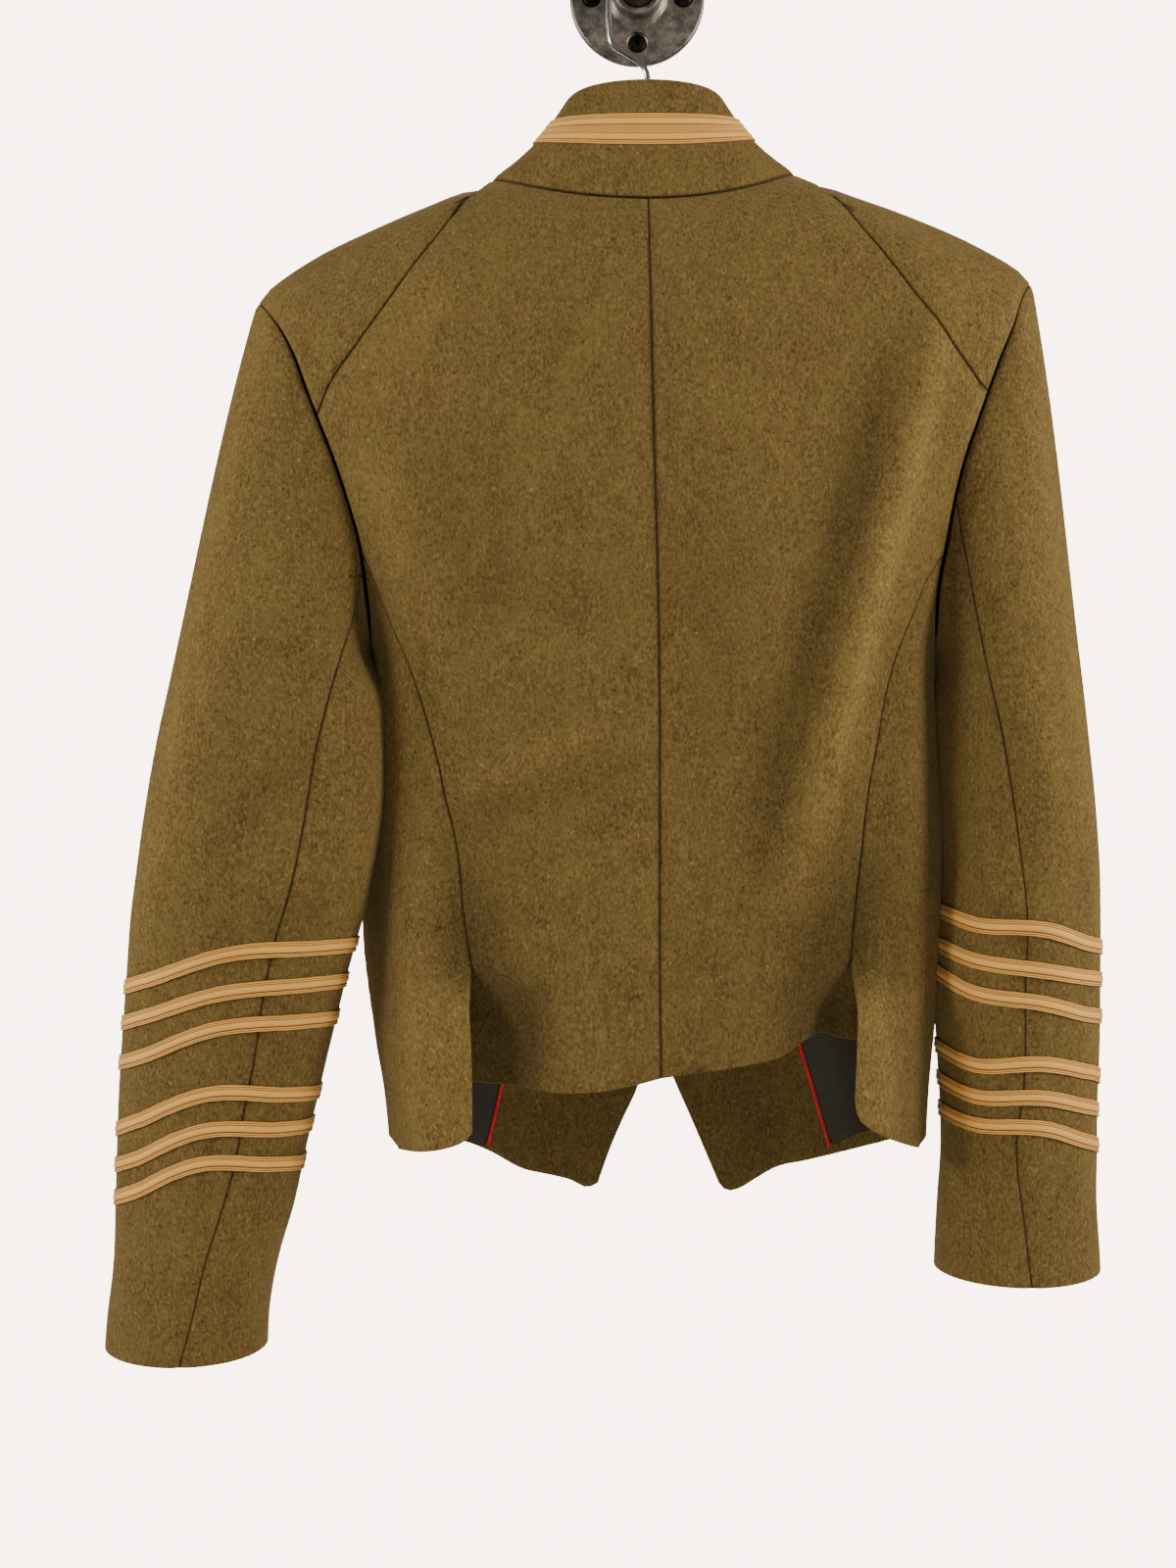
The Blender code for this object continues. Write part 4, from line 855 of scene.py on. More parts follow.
def joined(*parts):
    # One outline from stretches that share their end points
    out = [parts[0]]
    for part in parts[1:]:
        skip = np.linalg.norm(part[0] - out[-1][-1]) < 1e-4
        out.append(part[1:] if skip else part)
    outline = np.concatenate(out)
    return outline[:-1] if np.linalg.norm(outline[0] - outline[-1]) < 1e-4 else outline


def shrink(outline, gap):
    # Each corner moved along its bisector, by the gap over the sine of its half angle
    before, after = np.roll(outline, 1, axis=0), np.roll(outline, -1, axis=0)
    area = np.sum(before[:, 0] * outline[:, 1] - outline[:, 0] * before[:, 1])
    turn = 1.0 if area > 0 else -1.0
    first, second = unit(outline - before), unit(after - outline)
    firstLeft = turn * pack(-first[:, 1], first[:, 0])
    secondLeft = turn * pack(-second[:, 1], second[:, 0])
    bisector = unit(firstLeft + secondLeft)
    stretch = np.maximum(np.sum(bisector * firstLeft, axis=1), 0.35)
    return outline + bisector * (gap / stretch)[:, None]


def insideOutline(points, outline):
    # Even-odd rule, one outline edge at a time
    found = np.zeros(len(points), bool)
    for (x0, y0), (x1, y1) in zip(outline, np.roll(outline, -1, axis=0)):
        if y0 == y1:
            continue
        crosses = (y0 > points[:, 1]) != (y1 > points[:, 1])
        found ^= crosses & (points[:, 0] < x0 + (points[:, 1] - y0) * (x1 - x0) / (y1 - y0))
    return found


def edgeDistance(points, outline, closed=True):
    # Distance to the nearest edge of an outline or line
    nearest = np.full(len(points), np.inf)
    ends = np.roll(outline, -1, axis=0) if closed else outline[1:]
    for start, end in zip(outline, ends):
        run = end - start
        f = np.clip((points - start) @ run / max(run @ run, 1e-18), 0, 1)
        nearest = np.minimum(nearest, np.linalg.norm(points - start - f[:, None] * run, axis=1))
    return nearest


edgeForm = {
    "cell": 0.0052,
    "roundness": 0.0009,   # of a cut or folded edge
    "seamDip": 0.0011,     # how far the cloth sinks into a pressed seam
    "seamReach": 0.0036,
    "seamShade": 0.0006,   # how far the painted shade of a seam reaches
    "foldDepth": 0.0080,   # a hollow this deep gets all of the painted shade, a ridge this high all of the painted light
    "turnings": 0.0010,    # what the turnings pressed open behind a seam add to the wall
    "turningsReach": 0.0060,
    "farFromSeams": 1.0,
    "sewnReach": 0.0010,   # an edge this near to its seam is sewn down, and its inside isn't rounded
    "innerRounding": 0.95,
    # how dark the painted shade in a seam gets at most
    "seamShadeShare": 0.85,
    "rows": (0.0005, 0.0014),    # rows of points inside the outline, which round the edge
    "rowGap": 0.90,        # how near the outline a row's points may come, as a share of their gap
    "gridGap": 0.85,       # and the grid's, as a share of a cell
}


def cutPattern(outline, cell):
    # Triangles over a flat outline: its points, rows close inside it that round the edge, and a grid
    low, high = outline.min(axis=0) / cell, outline.max(axis=0) / cell
    steps = [np.arange(math.floor(l), math.ceil(h) + 1) for l, h in zip(low, high)]
    grid = np.stack(np.meshgrid(*steps), axis=-1).reshape(-1, 2).astype(float)
    grid[:, 0] += 0.5 * (np.round(grid[:, 1]) % 2)
    grid = grid * cell
    grid = grid[insideOutline(grid, outline)]
    grid = grid[edgeDistance(grid, outline) > cell * edgeForm["gridGap"]]
    rows = []
    for gap in edgeForm["rows"]:
        row = shrink(outline, gap)
        clear = edgeDistance(row, outline) > gap * edgeForm["rowGap"]
        rows.append(row[insideOutline(row, outline) & clear])
    points = np.concatenate([outline, *rows, grid])
    loop = [list(range(len(outline)))]
    found, _, faces, *_ = delaunay_2d_cdt([Vector(p) for p in points.tolist()], [], loop, 1, 1e-7)
    return np.array([tuple(p) for p in found]), np.array([tuple(f) for f in faces])


def rimEdges(faces):
    # Edges that belong to one triangle only, in that triangle's direction
    edges = np.concatenate([faces[:, [0, 1]], faces[:, [1, 2]], faces[:, [2, 0]]])
    keys = {(int(a), int(b)) for a, b in edges}
    return np.array([(a, b) for a, b in keys if (b, a) not in keys])


armRoom = {"depth": -0.105, "half": 0.013, "ease": 0.010, "foot": -0.300}


def turningsRoom(points):
    # A share of the turnings' thickness: none where the hanger's arms pass, an ease to all of it beside them
    room = armRoom
    away = ease((np.abs(points[:, 1] - room["depth"]) - room["half"]) / room["ease"])
    return np.where(points[:, 2] > room["foot"], away, 1.0)


def clothPiece(name, outline, surface, girth, seamLines=(), normals=None, outset=0.0, rise=None,
               shadingRelief=None, turnings=0.0, wall=bodyForm["wall"], slot="melton", cell=edgeForm["cell"]):
    # The outline's triangles laid on a surface. Outer points sink at the edge by a rounding, and at a seam by
    # a bell too. The inner points lie a wall's thickness behind, or more where a seam has its turnings
    form = edgeForm
    scale = np.array([girth, 1.0])
    cut = shrink(outline * scale, bodyForm["seamGap"] / 2)
    flat, faces = cutPattern(cut, cell)
    first, second = (flat / scale).T
    away = normals(first, second) if normals else surfaceNormals(surface, first, second)
    near = edgeDistance(flat, cut)
    nearSeam = np.full(len(flat), form["farFromSeams"])
    for line in seamLines:
        nearSeam = np.minimum(nearSeam, edgeDistance(flat, line * scale, False))
    r = form["roundness"]
    rounding = r - np.sqrt(np.maximum(r ** 2 - np.maximum(r - near, 0) ** 2, 0))
    dip = form["seamDip"] * np.exp(-(nearSeam / form["seamReach"]) ** 2)
    backing = turnings * np.exp(-(nearSeam / form["turningsReach"]) ** 4)
    inTheSeam = np.exp(-(np.maximum(nearSeam - near, 0) / form["sewnReach"]) ** 2)
    level = surface(first, second) + away * (outset + (rise(first, second) if rise else 0 * first))[:, None]
    outer = level - away * (rounding + dip)[:, None]
    free = rounding * (1 - inTheSeam) * form["innerRounding"]
    inner = level - away * (wall - free + backing * turningsRoom(level))[:, None]
    count = len(outer)
    rim = rimEdges(faces)
    quads = pack(rim[:, 1], rim[:, 0], rim[:, 0] + count, rim[:, 1] + count)
    allFaces = faces.tolist() + (faces[:, ::-1] + count).tolist() + quads.tolist()
    # painted shade in the crevice along each seam
    seam = form["seamShadeShare"] * np.exp(-(nearSeam / form["seamShade"]) ** 2)
    # the hollow mark: painted shade in the fold hollows and painted light on the fold ridges
    folds = shadingRelief or rise
    hollow = np.clip(-folds(first, second) / form["foldDepth"], -1, 1) if folds else 0 * seam
    marks = {"seam": np.append(seam, 0 * seam), "hollow": np.append(hollow, 0 * hollow)}
    piece = makePiece("cloth_" + name, np.concatenate([outer, inner]), allFaces, finishes[slot], slot,
                      (name,), marks=marks)
    print(f"{name}: {len(allFaces)} faces")


def bodyLines(side):
    # The seams and edges of one half of the body, each from top to bottom or from back to front
    sign = towards[side]
    top = bodyForm["rings"]["back"][0]
    stops = stopsOf[side]
    corner, vent, split = stops["corner"], stops["vent"], stops["split"]
    cornerZ = seams["shoulderCorner"][side]
    diagonalHeights = drop(seams["diagonal"]["height"][0], cornerZ + hems["cornerStep"])
    ventPlace, splitPlace = armhole(vent, side)[None], armhole(split, side)[None]
    diagonal = np.concatenate([
        np.array([[sign * 0.25, top]]), seamLine("diagonal", side, diagonalHeights),
        armhole(corner, side)[None]])
    backHem = hemLine(hems["back"][side], side)
    sideHem = np.concatenate([
        hemLine(hems["sideBack"][side], side), hemLine(hems["sideFront"][side], side, True)])
    sideBackHeights = drop(seams["sideBackTop"] - hems["ventStep"], ventLap["open"])
    sideBack = np.concatenate([ventPlace, seamLine("sideBack", side, sideBackHeights)])
    freeEdge = seamLine("sideBack", side, drop(ventLap["open"], sideHem[0, 1] + hems["cornerStep"]))
    underHeights = drop(ventLap["open"] - hems["underEdgeTop"], backHem[-1, 1])
    underX = seamX("sideBack", side, underHeights) + outward[side] * ventLap["width"]
    sideFrontHeights = drop(seams["sideFrontTop"] - hems["splitStep"], sideHem[-1, 1])
    sideFront = np.concatenate([splitPlace, seamLine("sideFront", side, sideFrontHeights, True)])
    sideFront[-1] = sideHem[-1]
    frontEdge = np.concatenate([
        upright(sign * 0.5, drop(top, hems["frontStraight"])),
        seamLine("frontEdge", side, drop(*hems["frontCurve"]), True)])
    return {
        "centre": upright(0.0, drop(top, seams["centreHem"])),
        "diagonal": diagonal, "sideBack": sideBack, "freeEdge": freeEdge,
        "underEdge": findPlace(underX, underHeights, side), "sideFront": sideFront, "frontEdge": frontEdge,
        "backHem": backHem[:-1], "sideHem": sideHem, "frontHem": hemLine(hems["front"][side], side, True),
        "armholeBack": armhole(armholeAngles(side, corner, vent), side),
        "armholeFoot": armhole(armholeAngles(side, vent, split), side),
        "armholeOver": armhole(armholeAngles(side, corner, split - fullTurn), side),
    }


def bodyPanels():
    # Each outline goes round its panel once, from seam to seam
    for side in sides:
        sign = towards[side]
        line = bodyLines(side)
        backNeck, frontNeck = neckLine(sign * 0.25, 0.0, 36), neckLine(sign * 0.5, sign * 0.25, 36)
        outlines = {
            "back": joined(
                line["centre"], line["backHem"], line["underEdge"][::-1], line["sideBack"][::-1],
                line["armholeBack"][::-1], line["diagonal"][::-1], backNeck),
            "side": joined(
                line["sideBack"], line["freeEdge"], line["sideHem"], line["sideFront"][::-1],
                line["armholeFoot"][::-1]),
            "front": joined(
                line["diagonal"], line["armholeOver"], line["sideFront"], line["frontHem"],
                line["frontEdge"][::-1], frontNeck),
        }
        seamLines = {
            "back": (line["centre"], line["sideBack"], line["armholeBack"], line["diagonal"], backNeck),
            "side": (line["sideBack"], line["sideFront"], line["armholeFoot"]),
            "front": (line["diagonal"], line["armholeOver"], line["sideFront"], frontNeck),
        }
        for kind, outline in outlines.items():
            clothPiece(
                f"{kind}_{side}", outline, panelSurface(kind, side), bodyForm["girth"],
                seamLines[kind], shadingRelief=panelRise(kind, side),
                turnings=0.0 if kind == "front" else edgeForm["turnings"])


bodyPanels()
print("body panels laid")


def elbowTurn(heights, side):
    # The turn of the elbow seam at each height of the sleeve's pattern
    line = elbowSeam[side]

    def miss(turn):
        points = plainSleeve(turn, heights, side)
        return (spline(line["height"], line["x"], points[..., 2]) - points[..., 0]) * outward[side]
    return findRoot(miss, np.full(heights.shape, 0.02), np.full(heights.shape, 0.5))


def sleevePieces():
    # From elbow seam to front seam, the top sleeve lies across turn 0 and the under sleeve across 0.5
    for side in sides:
        top, cuffHeight = sleeveForm["top"][side], sleeveForm["cuff"][side]
        heights = drop(top, cuffHeight, 0.007)
        stops = stopsOf[side]
        elbowTurns = np.append(stops["elbow"] / fullTurn, elbowTurn(heights[1:], side))
        elbow = pack(elbowTurns, heights)
        first, last = sleeveForm["frontSeamTurn"]
        frontTurn = first + (last - first) * (heights - top) / (cuffHeight - top)
        front = pack(frontTurn, heights)
        aroundOnce = np.array([1.0, 0.0])

        def cuffLine(start, end):
            turns = arc(start, end, 0.015)
            return pack(turns, cuffHeight)

        def headLine(start, end):
            turns = armholeAngles(side, start, end) / fullTurn
            return pack(turns, top)

        ahead = front - aroundOnce
        topHead = headLine(stops["front"] - fullTurn, stops["elbow"])
        underHead = headLine(stops["front"], stops["elbow"])
        outlines = {
            "top": joined(elbow, cuffLine(elbow[-1, 0], ahead[-1, 0]), ahead[::-1], topHead),
            "under": joined(elbow, cuffLine(elbow[-1, 0], front[-1, 0]), front[::-1], underHead),
        }
        seamLines = {"top": (elbow, ahead, topHead), "under": (elbow, front, underHead)}
        for kind, outline in outlines.items():
            clothPiece(
                f"{kind}_sleeve_{side}", outline, sleeveSurface(side), sleeveForm["girth"],
                seamLines[kind], lambda a, b: sleeveNormals(a, b, side),
                rise=lambda a, b: sleeveRise(a, b, side), turnings=edgeForm["turnings"])


sleevePieces()
print("sleeves laid")


# Collar

collarForm = {
    "rim": {"middle": 0.0030, left: -0.0480, right: 0.0520, "rear": -0.1500, "fore": -0.0640,
            "back": -0.1000, "side_left": -0.1055, "side_right": -0.1055, "front": -0.1580},
    "height": 0.073, "hollow": 0.0040, "hollowWay": (0.75, -0.65), "lift": 0.0004,
    "girth": 0.50, "cell": 0.0045, "around": 121,
    "braids": table("lower upper", [
        (31.6, 51.0), (31.6, 51.0), (32.2, 51.2), (33.2, 52.0), (40.5, 61.0), (41.0, 62.0)]),
    "braidTurns": (0.0, 0.06, 0.12, 0.15, 0.25, 0.5),
}


def collarSurface(turn, height):
    # Straight lines from the neck seam to the top edge, hollowed at the sides by a half sine
    form = collarForm
    turn, height = np.broadcast_arrays(np.asarray(turn, float), np.asarray(height, float))
    foot = torso(turn, bodyForm["rings"]["back"][0]) + np.array([0.0, 0.0, form["lift"]])
    rim = torso(turn, height, form["rim"])
    sine = np.sin(fullTurn * turn)
    f = (height / form["height"])[..., None]
    hollow = form["hollow"] * np.sin(math.pi * np.clip(f, 0, 1)) * (sine ** 2)[..., None]
    inX, inZ = form["hollowWay"]
    inward = pack(np.sign(sine) * inX, 0 * sine, inZ)
    return foot + (rim - foot) * f + inward * hollow


def collarPiece():
    # The outline goes along the neck seam, up one end, back along the top edge and down the other
    form = collarForm
    turns = np.linspace(-0.5, 0.5, form["around"])
    foot, rim = [pack(turns, height) for height in (0.0, form["height"])]
    ends = drop(0.0, form["height"], 0.004)
    outline = joined(foot, upright(0.5, ends), rim[::-1], upright(-0.5, ends[::-1]))
    clothPiece("collar", outline, collarSurface, form["girth"], (foot,),
               turnings=edgeForm["turnings"], cell=form["cell"])


collarPiece()
print("collar laid")


# Braid

braidForm = {
    "width": 0.0092, "gap": 0.0003,
    "across": 33,
    # Ribs across the width: middle and half width as shares of it, height in mm
    "ribs": [(0.050, 0.050, 0.50), (0.190, 0.052, 0.46), (0.520, 0.215, 0.55), (0.810, 0.050, 0.42),
             (0.945, 0.052, 0.50)],
    "baseMm": 0.48,        # the braid's ground between its ribs
    # Pitch and rise in mm of the wave on a band or a cord, and how much painted glint it gives the thread
    "band": (2.0, 0.16, 0.20), "cord": (1.4, 0.12, 0.14),
    "bandHalf": 0.1,       # a rib with a greater half width is a band
    "slantPerMm": 0.55,    # how far the wave runs on, in its own length, for each mm across
    "light": (0.30, 0.52, 0.35),    # painted light: of a rib's foot, what its top adds, and the power between
    "frayMm": 0.11, "waves": (211, 97),    # an edge strays by this, in two waves along the ring
    "rows": 6, "perPitch": 3, "rough": 65, "ahead": 0.002, "collarAround": 620,
}

cuffBraids = {
    left: table("outer back_outer back back_inner inner", [
        (-641, -634, -618, -615, -614), (-663, -656, -641, -637, -636), (-687, -680, -662, -659, -659),
        (-728, -719, -701, -703, -705), (-750, -742, -723, -724, -725), (-770, -762, -743, -745, -748),
    ]),
    right: table("outer back_outer back back_inner inner", [
        (-618, -613, -603, -602, -596), (-637, -633, -627, -623, -616), (-659, -655, -646, -642, -632),
        (-697, -689, -682, -685, -678), (-717, -710, -702, -704, -698), (-739, -731, -720, -721, -717),
    ]),
}


def braidRelief(share, along):
    # Half-round ribs on a thin ground. Cords are twisted by a slanted wave, the band has a chevron wave. The
    # rib mark is painted light on rib tops and glints, painted shade at their feet
    form = braidForm
    foot, top, power = form["light"]
    height = np.full(np.broadcast(share, along).shape, form["baseMm"])
    rib = np.zeros(height.shape)
    for middle, half, rise in form["ribs"]:
        wide = half > form["bandHalf"]
        pitch, depth, glint = form["band" if wide else "cord"]
        inside = np.clip(1 - ((share - middle) / half) ** 2, 0, 1)
        slant = np.abs(share - middle) if wide else share - middle
        wave = np.cos(fullTurn * (
            along / (pitch * mm) + slant * form["width"] / mm * form["slantPerMm"]))
        height += np.where(inside > 0, rise * np.sqrt(inside) + depth * wave * inside, 0)
        rib = np.maximum(rib, np.where(inside > 0, foot + top * inside ** power + glint * wave, 0))
    return height * mm, np.clip(rib, 0, 1)


def braidPiece(name, surface, lower, upper, looped, normals=None):
    # A grid across and along the braid, its edges brought down to the cloth and closed beneath
    shares = np.linspace(0, 1, braidForm["across"])
    length = runLength(surface(*((lower + upper) / 2).T))
    place = lower[:, None] + (upper - lower)[:, None] * shares[None, :, None]
    height, rib = braidRelief(shares[None, :], length[:, None])
    height[:, [0, -1]] = 0
    turn, level = place[..., 0], place[..., 1]
    away = normals(turn, level) if normals else surfaceNormals(surface, turn, level)
    points = surface(turn, level) + away * (braidForm["gap"] + height)[..., None]
    makePiece("woven_" + name, points.reshape(-1, 3), tubeFaces(*points.shape[:2], looped), finishes["braid"],
              "braid", (name,), 80, {"rib": rib.reshape(-1)})


def braidMiddle(row, side, turn):
    # Smooth through the heights at every eighth of a turn. The hidden half mirrors the back
    columns = cuffBraids[side]
    back = [columns[name][row] for name in ("outer", "back_outer", "back", "back_inner", "inner")]
    full = back + back[-2:0:-1]
    return spline(np.arange(-2, 11) / 8, [full[i % 8] for i in range(-2, 11)], turn)


def cuffBraidPieces():
    # Rings on the creased sleeve. Their height is the width over the cosine of the braid's slant
    form = braidForm
    for side in sides:
        surface = sleeveSurface(side)

        def normals(turn, height):
            return sleeveNormals(turn, height, side)

        def laid(turn, height):
            return surface(turn, height) + normals(turn, height) * sleeveRise(turn, height, side)[..., None]
        for row in range(form["rows"]):
            once = np.linspace(0, 1, form["rough"])
            length = runLength(surface(once, braidMiddle(row, side, once)))[-1]
            count = round(length / (form["band"][0] * mm)) * form["perPitch"]
            turns = np.arange(count) / count
            middle = braidMiddle(row, side, turns)
            step = turns + form["ahead"]
            ahead = surface(step, braidMiddle(row, side, step)) - surface(turns, middle)
            slant = np.linalg.norm(ahead, axis=1) / np.linalg.norm(ahead[:, :2], axis=1)
            quick, slow = form["waves"]
            wander = 0.5 * np.sin(turns * quick + row) + 0.5 * np.sin(turns * slow + 2 * row)
            half = (form["width"] / 2 + form["frayMm"] * mm * wander) * slant
            lower, upper = [pack(turns, middle + way * half) for way in (-1, 1)]
            braidPiece(f"cuff_braid_{row + 1}_{side}", laid, lower, upper, True, normals)


def collarBraidPieces():
    # Two braids side by side, from one front end of the collar to the other
    end = 0.5 - bodyForm["seamGap"]
    turns = np.linspace(-end, end, braidForm["collarAround"])
    columns = collarForm["braids"]
    lower = spline(collarForm["braidTurns"], columns["lower"], np.abs(turns))
    upper = spline(collarForm["braidTurns"], columns["upper"], np.abs(turns))
    middle = (lower + upper) / 2
    gap = bodyForm["seamGap"] / 2
    for name, low, high in (("lower", lower, middle - gap), ("upper", middle + gap, upper)):
        braidPiece("collar_braid_" + name, collarSurface, pack(turns, low), pack(turns, high), False)


cuffBraidPieces()
collarBraidPieces()
print("braid laid")


# Inside of the fronts

insideForm = {
    "facingWall": 0.0016, "liningWall": 0.0012, "laidGap": 0.0008, "pipingRadius": 0.0012,
    "facingFoot": -0.757, "pipingFoot": -0.752,
}


def sweep(name, path, first, second, count, finish, slot, node):
    # An ellipse with the two given half axes, carried along a path and closed at both ends
    angles = (np.arange(count) * fullTurn / count)[:, None]
    rings = path[:, None] + first[:, None] * np.cos(angles) + second[:, None] * np.sin(angles)
    makePiece(name, rings.reshape(-1, 3), tubeFaces(len(path), count), finish, slot, (node,))


def insidePieces():
    # Facing, piping and lining, laid inside the front's wall from the hem to as high as they show
    laid = -(bodyForm["wall"] + insideForm["laidGap"])
    margin = hems["edgeMargin"]
    beside = insideForm["pipingRadius"] + bodyForm["seamGap"]
    for side in sides:
        out = outward[side]
        surface = panelSurface("front", side)
        hemPoints = np.array(hems["front"][side], float) * mm
        hemPoints = hemPoints[(hemPoints[:, 0] - seamX("piping", side, insideForm["pipingFoot"])) * out < 0]
        heights = drop(hems["insideTop"], insideForm["facingFoot"])
        pipeHeights = drop(hems["insideTop"], insideForm["pipingFoot"])
        pipeX = seamX("piping", side, pipeHeights)
        footRun = smoothRun(hemPoints[::-1] + np.array([out * margin * 0.6, margin]), 0.005)
        facing = joined(
            findPlace(seamX("frontEdge", side, heights) + out * margin, heights, side, True),
            findPlace(footRun[:, 0], footRun[:, 1], side, True),
            findPlace(pipeX - out * beside, pipeHeights, side, True)[::-1])
        clothPiece(f"facing_{side}", facing, surface, bodyForm["girth"], outset=laid,
                   wall=insideForm["facingWall"])
        hemTop = hems["lining"][side][-1][1] * mm
        outerHeights = drop(hems["insideTop"], hemTop)
        outerX = seamX("sideFront", side, outerHeights) - out * margin
        lining = joined(
            findPlace(pipeX + out * beside, pipeHeights, side, True)[:-1],
            hemLine(hems["lining"][side], side, True)[:-1],
            findPlace(outerX, outerHeights, side, True)[::-1])
        clothPiece(f"lining_{side}", lining, surface, bodyForm["girth"], outset=laid,
                   wall=insideForm["liningWall"], slot="lining")
        cordHeights = drop(hems["insideTop"], insideForm["pipingFoot"], 0.0015)
        place = seamLine("piping", side, cordHeights, True)
        away = surfaceNormals(torso, place[:, 0], place[:, 1])
        r = insideForm["pipingRadius"]
        path = surface(place[:, 0], place[:, 1]) + away * (laid - r)
        across = unit(np.cross(away, unit(np.gradient(path, axis=0))))
        sweep("cord_piping_" + side, path, away * r, across * r, 12, finishes["piping"], "piping",
              "piping_" + side)


insidePieces()
print("inside of the fronts laid")


# Hanger and wall fitting

hangerForm = {
    "depth": 0.1050, "armRings": (-0.192, -0.240), "thickness": 0.0075, "height": 0.0120,
    "clearance": {left: 0.0038, right: 0.0034}, "middle": [(-50, -160), (0, -152), (50, -158)],
    "wireRadius": 0.0019, "hookRadius": 0.0193, "hookCentre": -0.0064, "tipAngle": -32.0, "fit": 0.0003,
    "stem": [(-19.3, -30.0), (-19.3, -54.0), (-17.6, -64.0), (-8.6, -70.4), (-1.6, -75.0), (3.0, -81.0),
             (4.2, -89.0), (4.2, -110.0)],
}


def inPlane(xz):
    # Pairs of x and z as points in the hanger's plane
    return pack(xz[:, 0], -hangerForm["depth"], xz[:, 1])


def planeSweep(name, path, thickness, height, count, finish, slot, node):
    # A sweep whose ellipses have one axis along Y and the other across the run
    run = unit(np.gradient(path, axis=0))
    depthWay = np.broadcast_to([0.0, 1.0, 0.0], path.shape)
    sweep(name, path, depthWay * thickness, np.cross(run, depthWay) * height, count, finish, slot, node)


def hangerPieces():
    # The body runs a little inside both shoulders. The hook is an arc over the pipe and a bent stem
    form = hangerForm
    arms = []
    for side in sides:
        rings = np.linspace(*form["armRings"], 6)
        turn = np.full(6, towards[side] * 0.25)
        inset = bodyForm["wall"] + form["clearance"][side] + form["height"]
        arms.append((torso(turn, rings) - surfaceNormals(torso, turn, rings) * inset)[:, [0, 2]])
    route = np.concatenate([arms[0][::-1], np.array(form["middle"]) * mm, arms[1]])
    path = smoothRun(inPlane(route), 0.004)
    fromEnd = np.minimum(np.arange(len(path)), np.arange(len(path))[::-1]) / 4
    half = form["height"] * (0.55 + 0.45 * np.sqrt(np.clip(1 - (1 - np.clip(fromEnd, 0, 1)) ** 2, 0, 1)))
    planeSweep("beech_hanger_body", path, form["thickness"], half[:, None], 32, finishes["wood"], "wood",
               "hanger_body")
    footX = form["stem"][-1][0] * mm
    top = np.interp(footX, path[:, 0], path[:, 2]) + form["height"]
    angles = np.radians(np.linspace(form["tipAngle"], 180, 60))
    radius = form["hookRadius"]
    arch = pack(radius * np.cos(angles), form["hookCentre"] + radius * np.sin(angles))
    stem = smoothRun(np.array([*form["stem"], (footX / mm, (top + form["fit"]) / mm)]) * mm, 0.0015)
    wire = form["wireRadius"]
    planeSweep("wire_hanger_hook", inPlane(np.concatenate([arch, stem])), wire, wire, 20, finishes["wire"],
               "steel", "hanger_hook")


hangerPieces()
print("hanger made")

# Radius and distance from the wall, in mm, of each turned piece, starting and ending just off its axis
profiles = {
    "flange": [(0.01, 0), (44.5, 0), (44.5, 4.4), (43.3, 5.5), (20.0, 7.5), (16.0, 10.0), (14.8, 18.5),
               (10.95, 18.5), (10.95, 6.0), (0.01, 6.0)],
    "pipe": [(0.01, 6.3), (10.65, 6.3), (10.65, 130), (0.01, 130)],
    "cap": [(0.01, 130.3), (10.95, 130.3), (10.95, 118), (14.5, 118), (14.5, 136), (12.47, 139.4),
            (7.25, 141.4), (0.01, 142)],
    "screw": [(0.01, 0.3), (3.0, 0.3), (3.0, 2.4), (5.8, 4.9), (4.6, 5.4), (0.01, 6.0)],
    "screwHole": [(0.01, -2), (3.3, -2), (3.3, 2.2), (6.4, 4.8), (7.0, 5.2), (7.0, 12), (0.01, 12)],
}
roundings = {"flange": 1.0, "pipe": 0.8, "cap": 1.2, "screw": 0.6, "screwHole": 0.4}    # of its corners, mm
fittingForm = {
    "screws": 4, "screwCircle": 0.0300, "screwSides": 40, "pipeSides": 96, "flangeSides": 144,
    # Cross recess of a screw: first turn, turn from screw to screw, length, width, and depths from the wall
    "driveTurn": 0.35, "driveStep": 0.7, "driveLength": 0.0048, "driveWidth": 0.0012,
    "driveNear": 0.0080, "driveFar": 0.0034, "driveTaper": 0.55,
}


def roundedProfile(kind, steps=5):
    # Corners of a profile replaced by small arcs: each a quadratic curve that starts and ends a rounding away
    corners = np.array(profiles[kind], float) * mm
    out = [corners[:1]]
    for before, corner, after in zip(corners, corners[1:], corners[2:]):
        near = min(roundings[kind] * mm, np.linalg.norm(corner - before) * 0.45)
        far = min(roundings[kind] * mm, np.linalg.norm(after - corner) * 0.45)
        start, end = corner + unit(before - corner) * near, corner + unit(after - corner) * far
        t = np.linspace(0, 1, steps)[:, None]
        out.append((1 - t) ** 2 * start + 2 * t * (1 - t) * corner + t ** 2 * end)
    return np.concatenate([*out, corners[-1:]])


def turned(kind, count, at=(0.0, 0.0)):
    # Points and faces of a profile turned about a line along Y
    radius, depth = roundedProfile(kind).T[..., None]
    angles = np.arange(count) * fullTurn / count
    rings = pack(at[0] + radius * np.cos(angles), -depth, at[1] + radius * np.sin(angles))
    return rings.reshape(-1, 3), tubeFaces(len(rings), count)


def turnedPiece(name, kind, count, finish, slot, node, at=(0.0, 0.0)):
    # A turned profile as a piece of its own
    return makePiece(name, *turned(kind, count, at), finish, slot, (node,), 40)


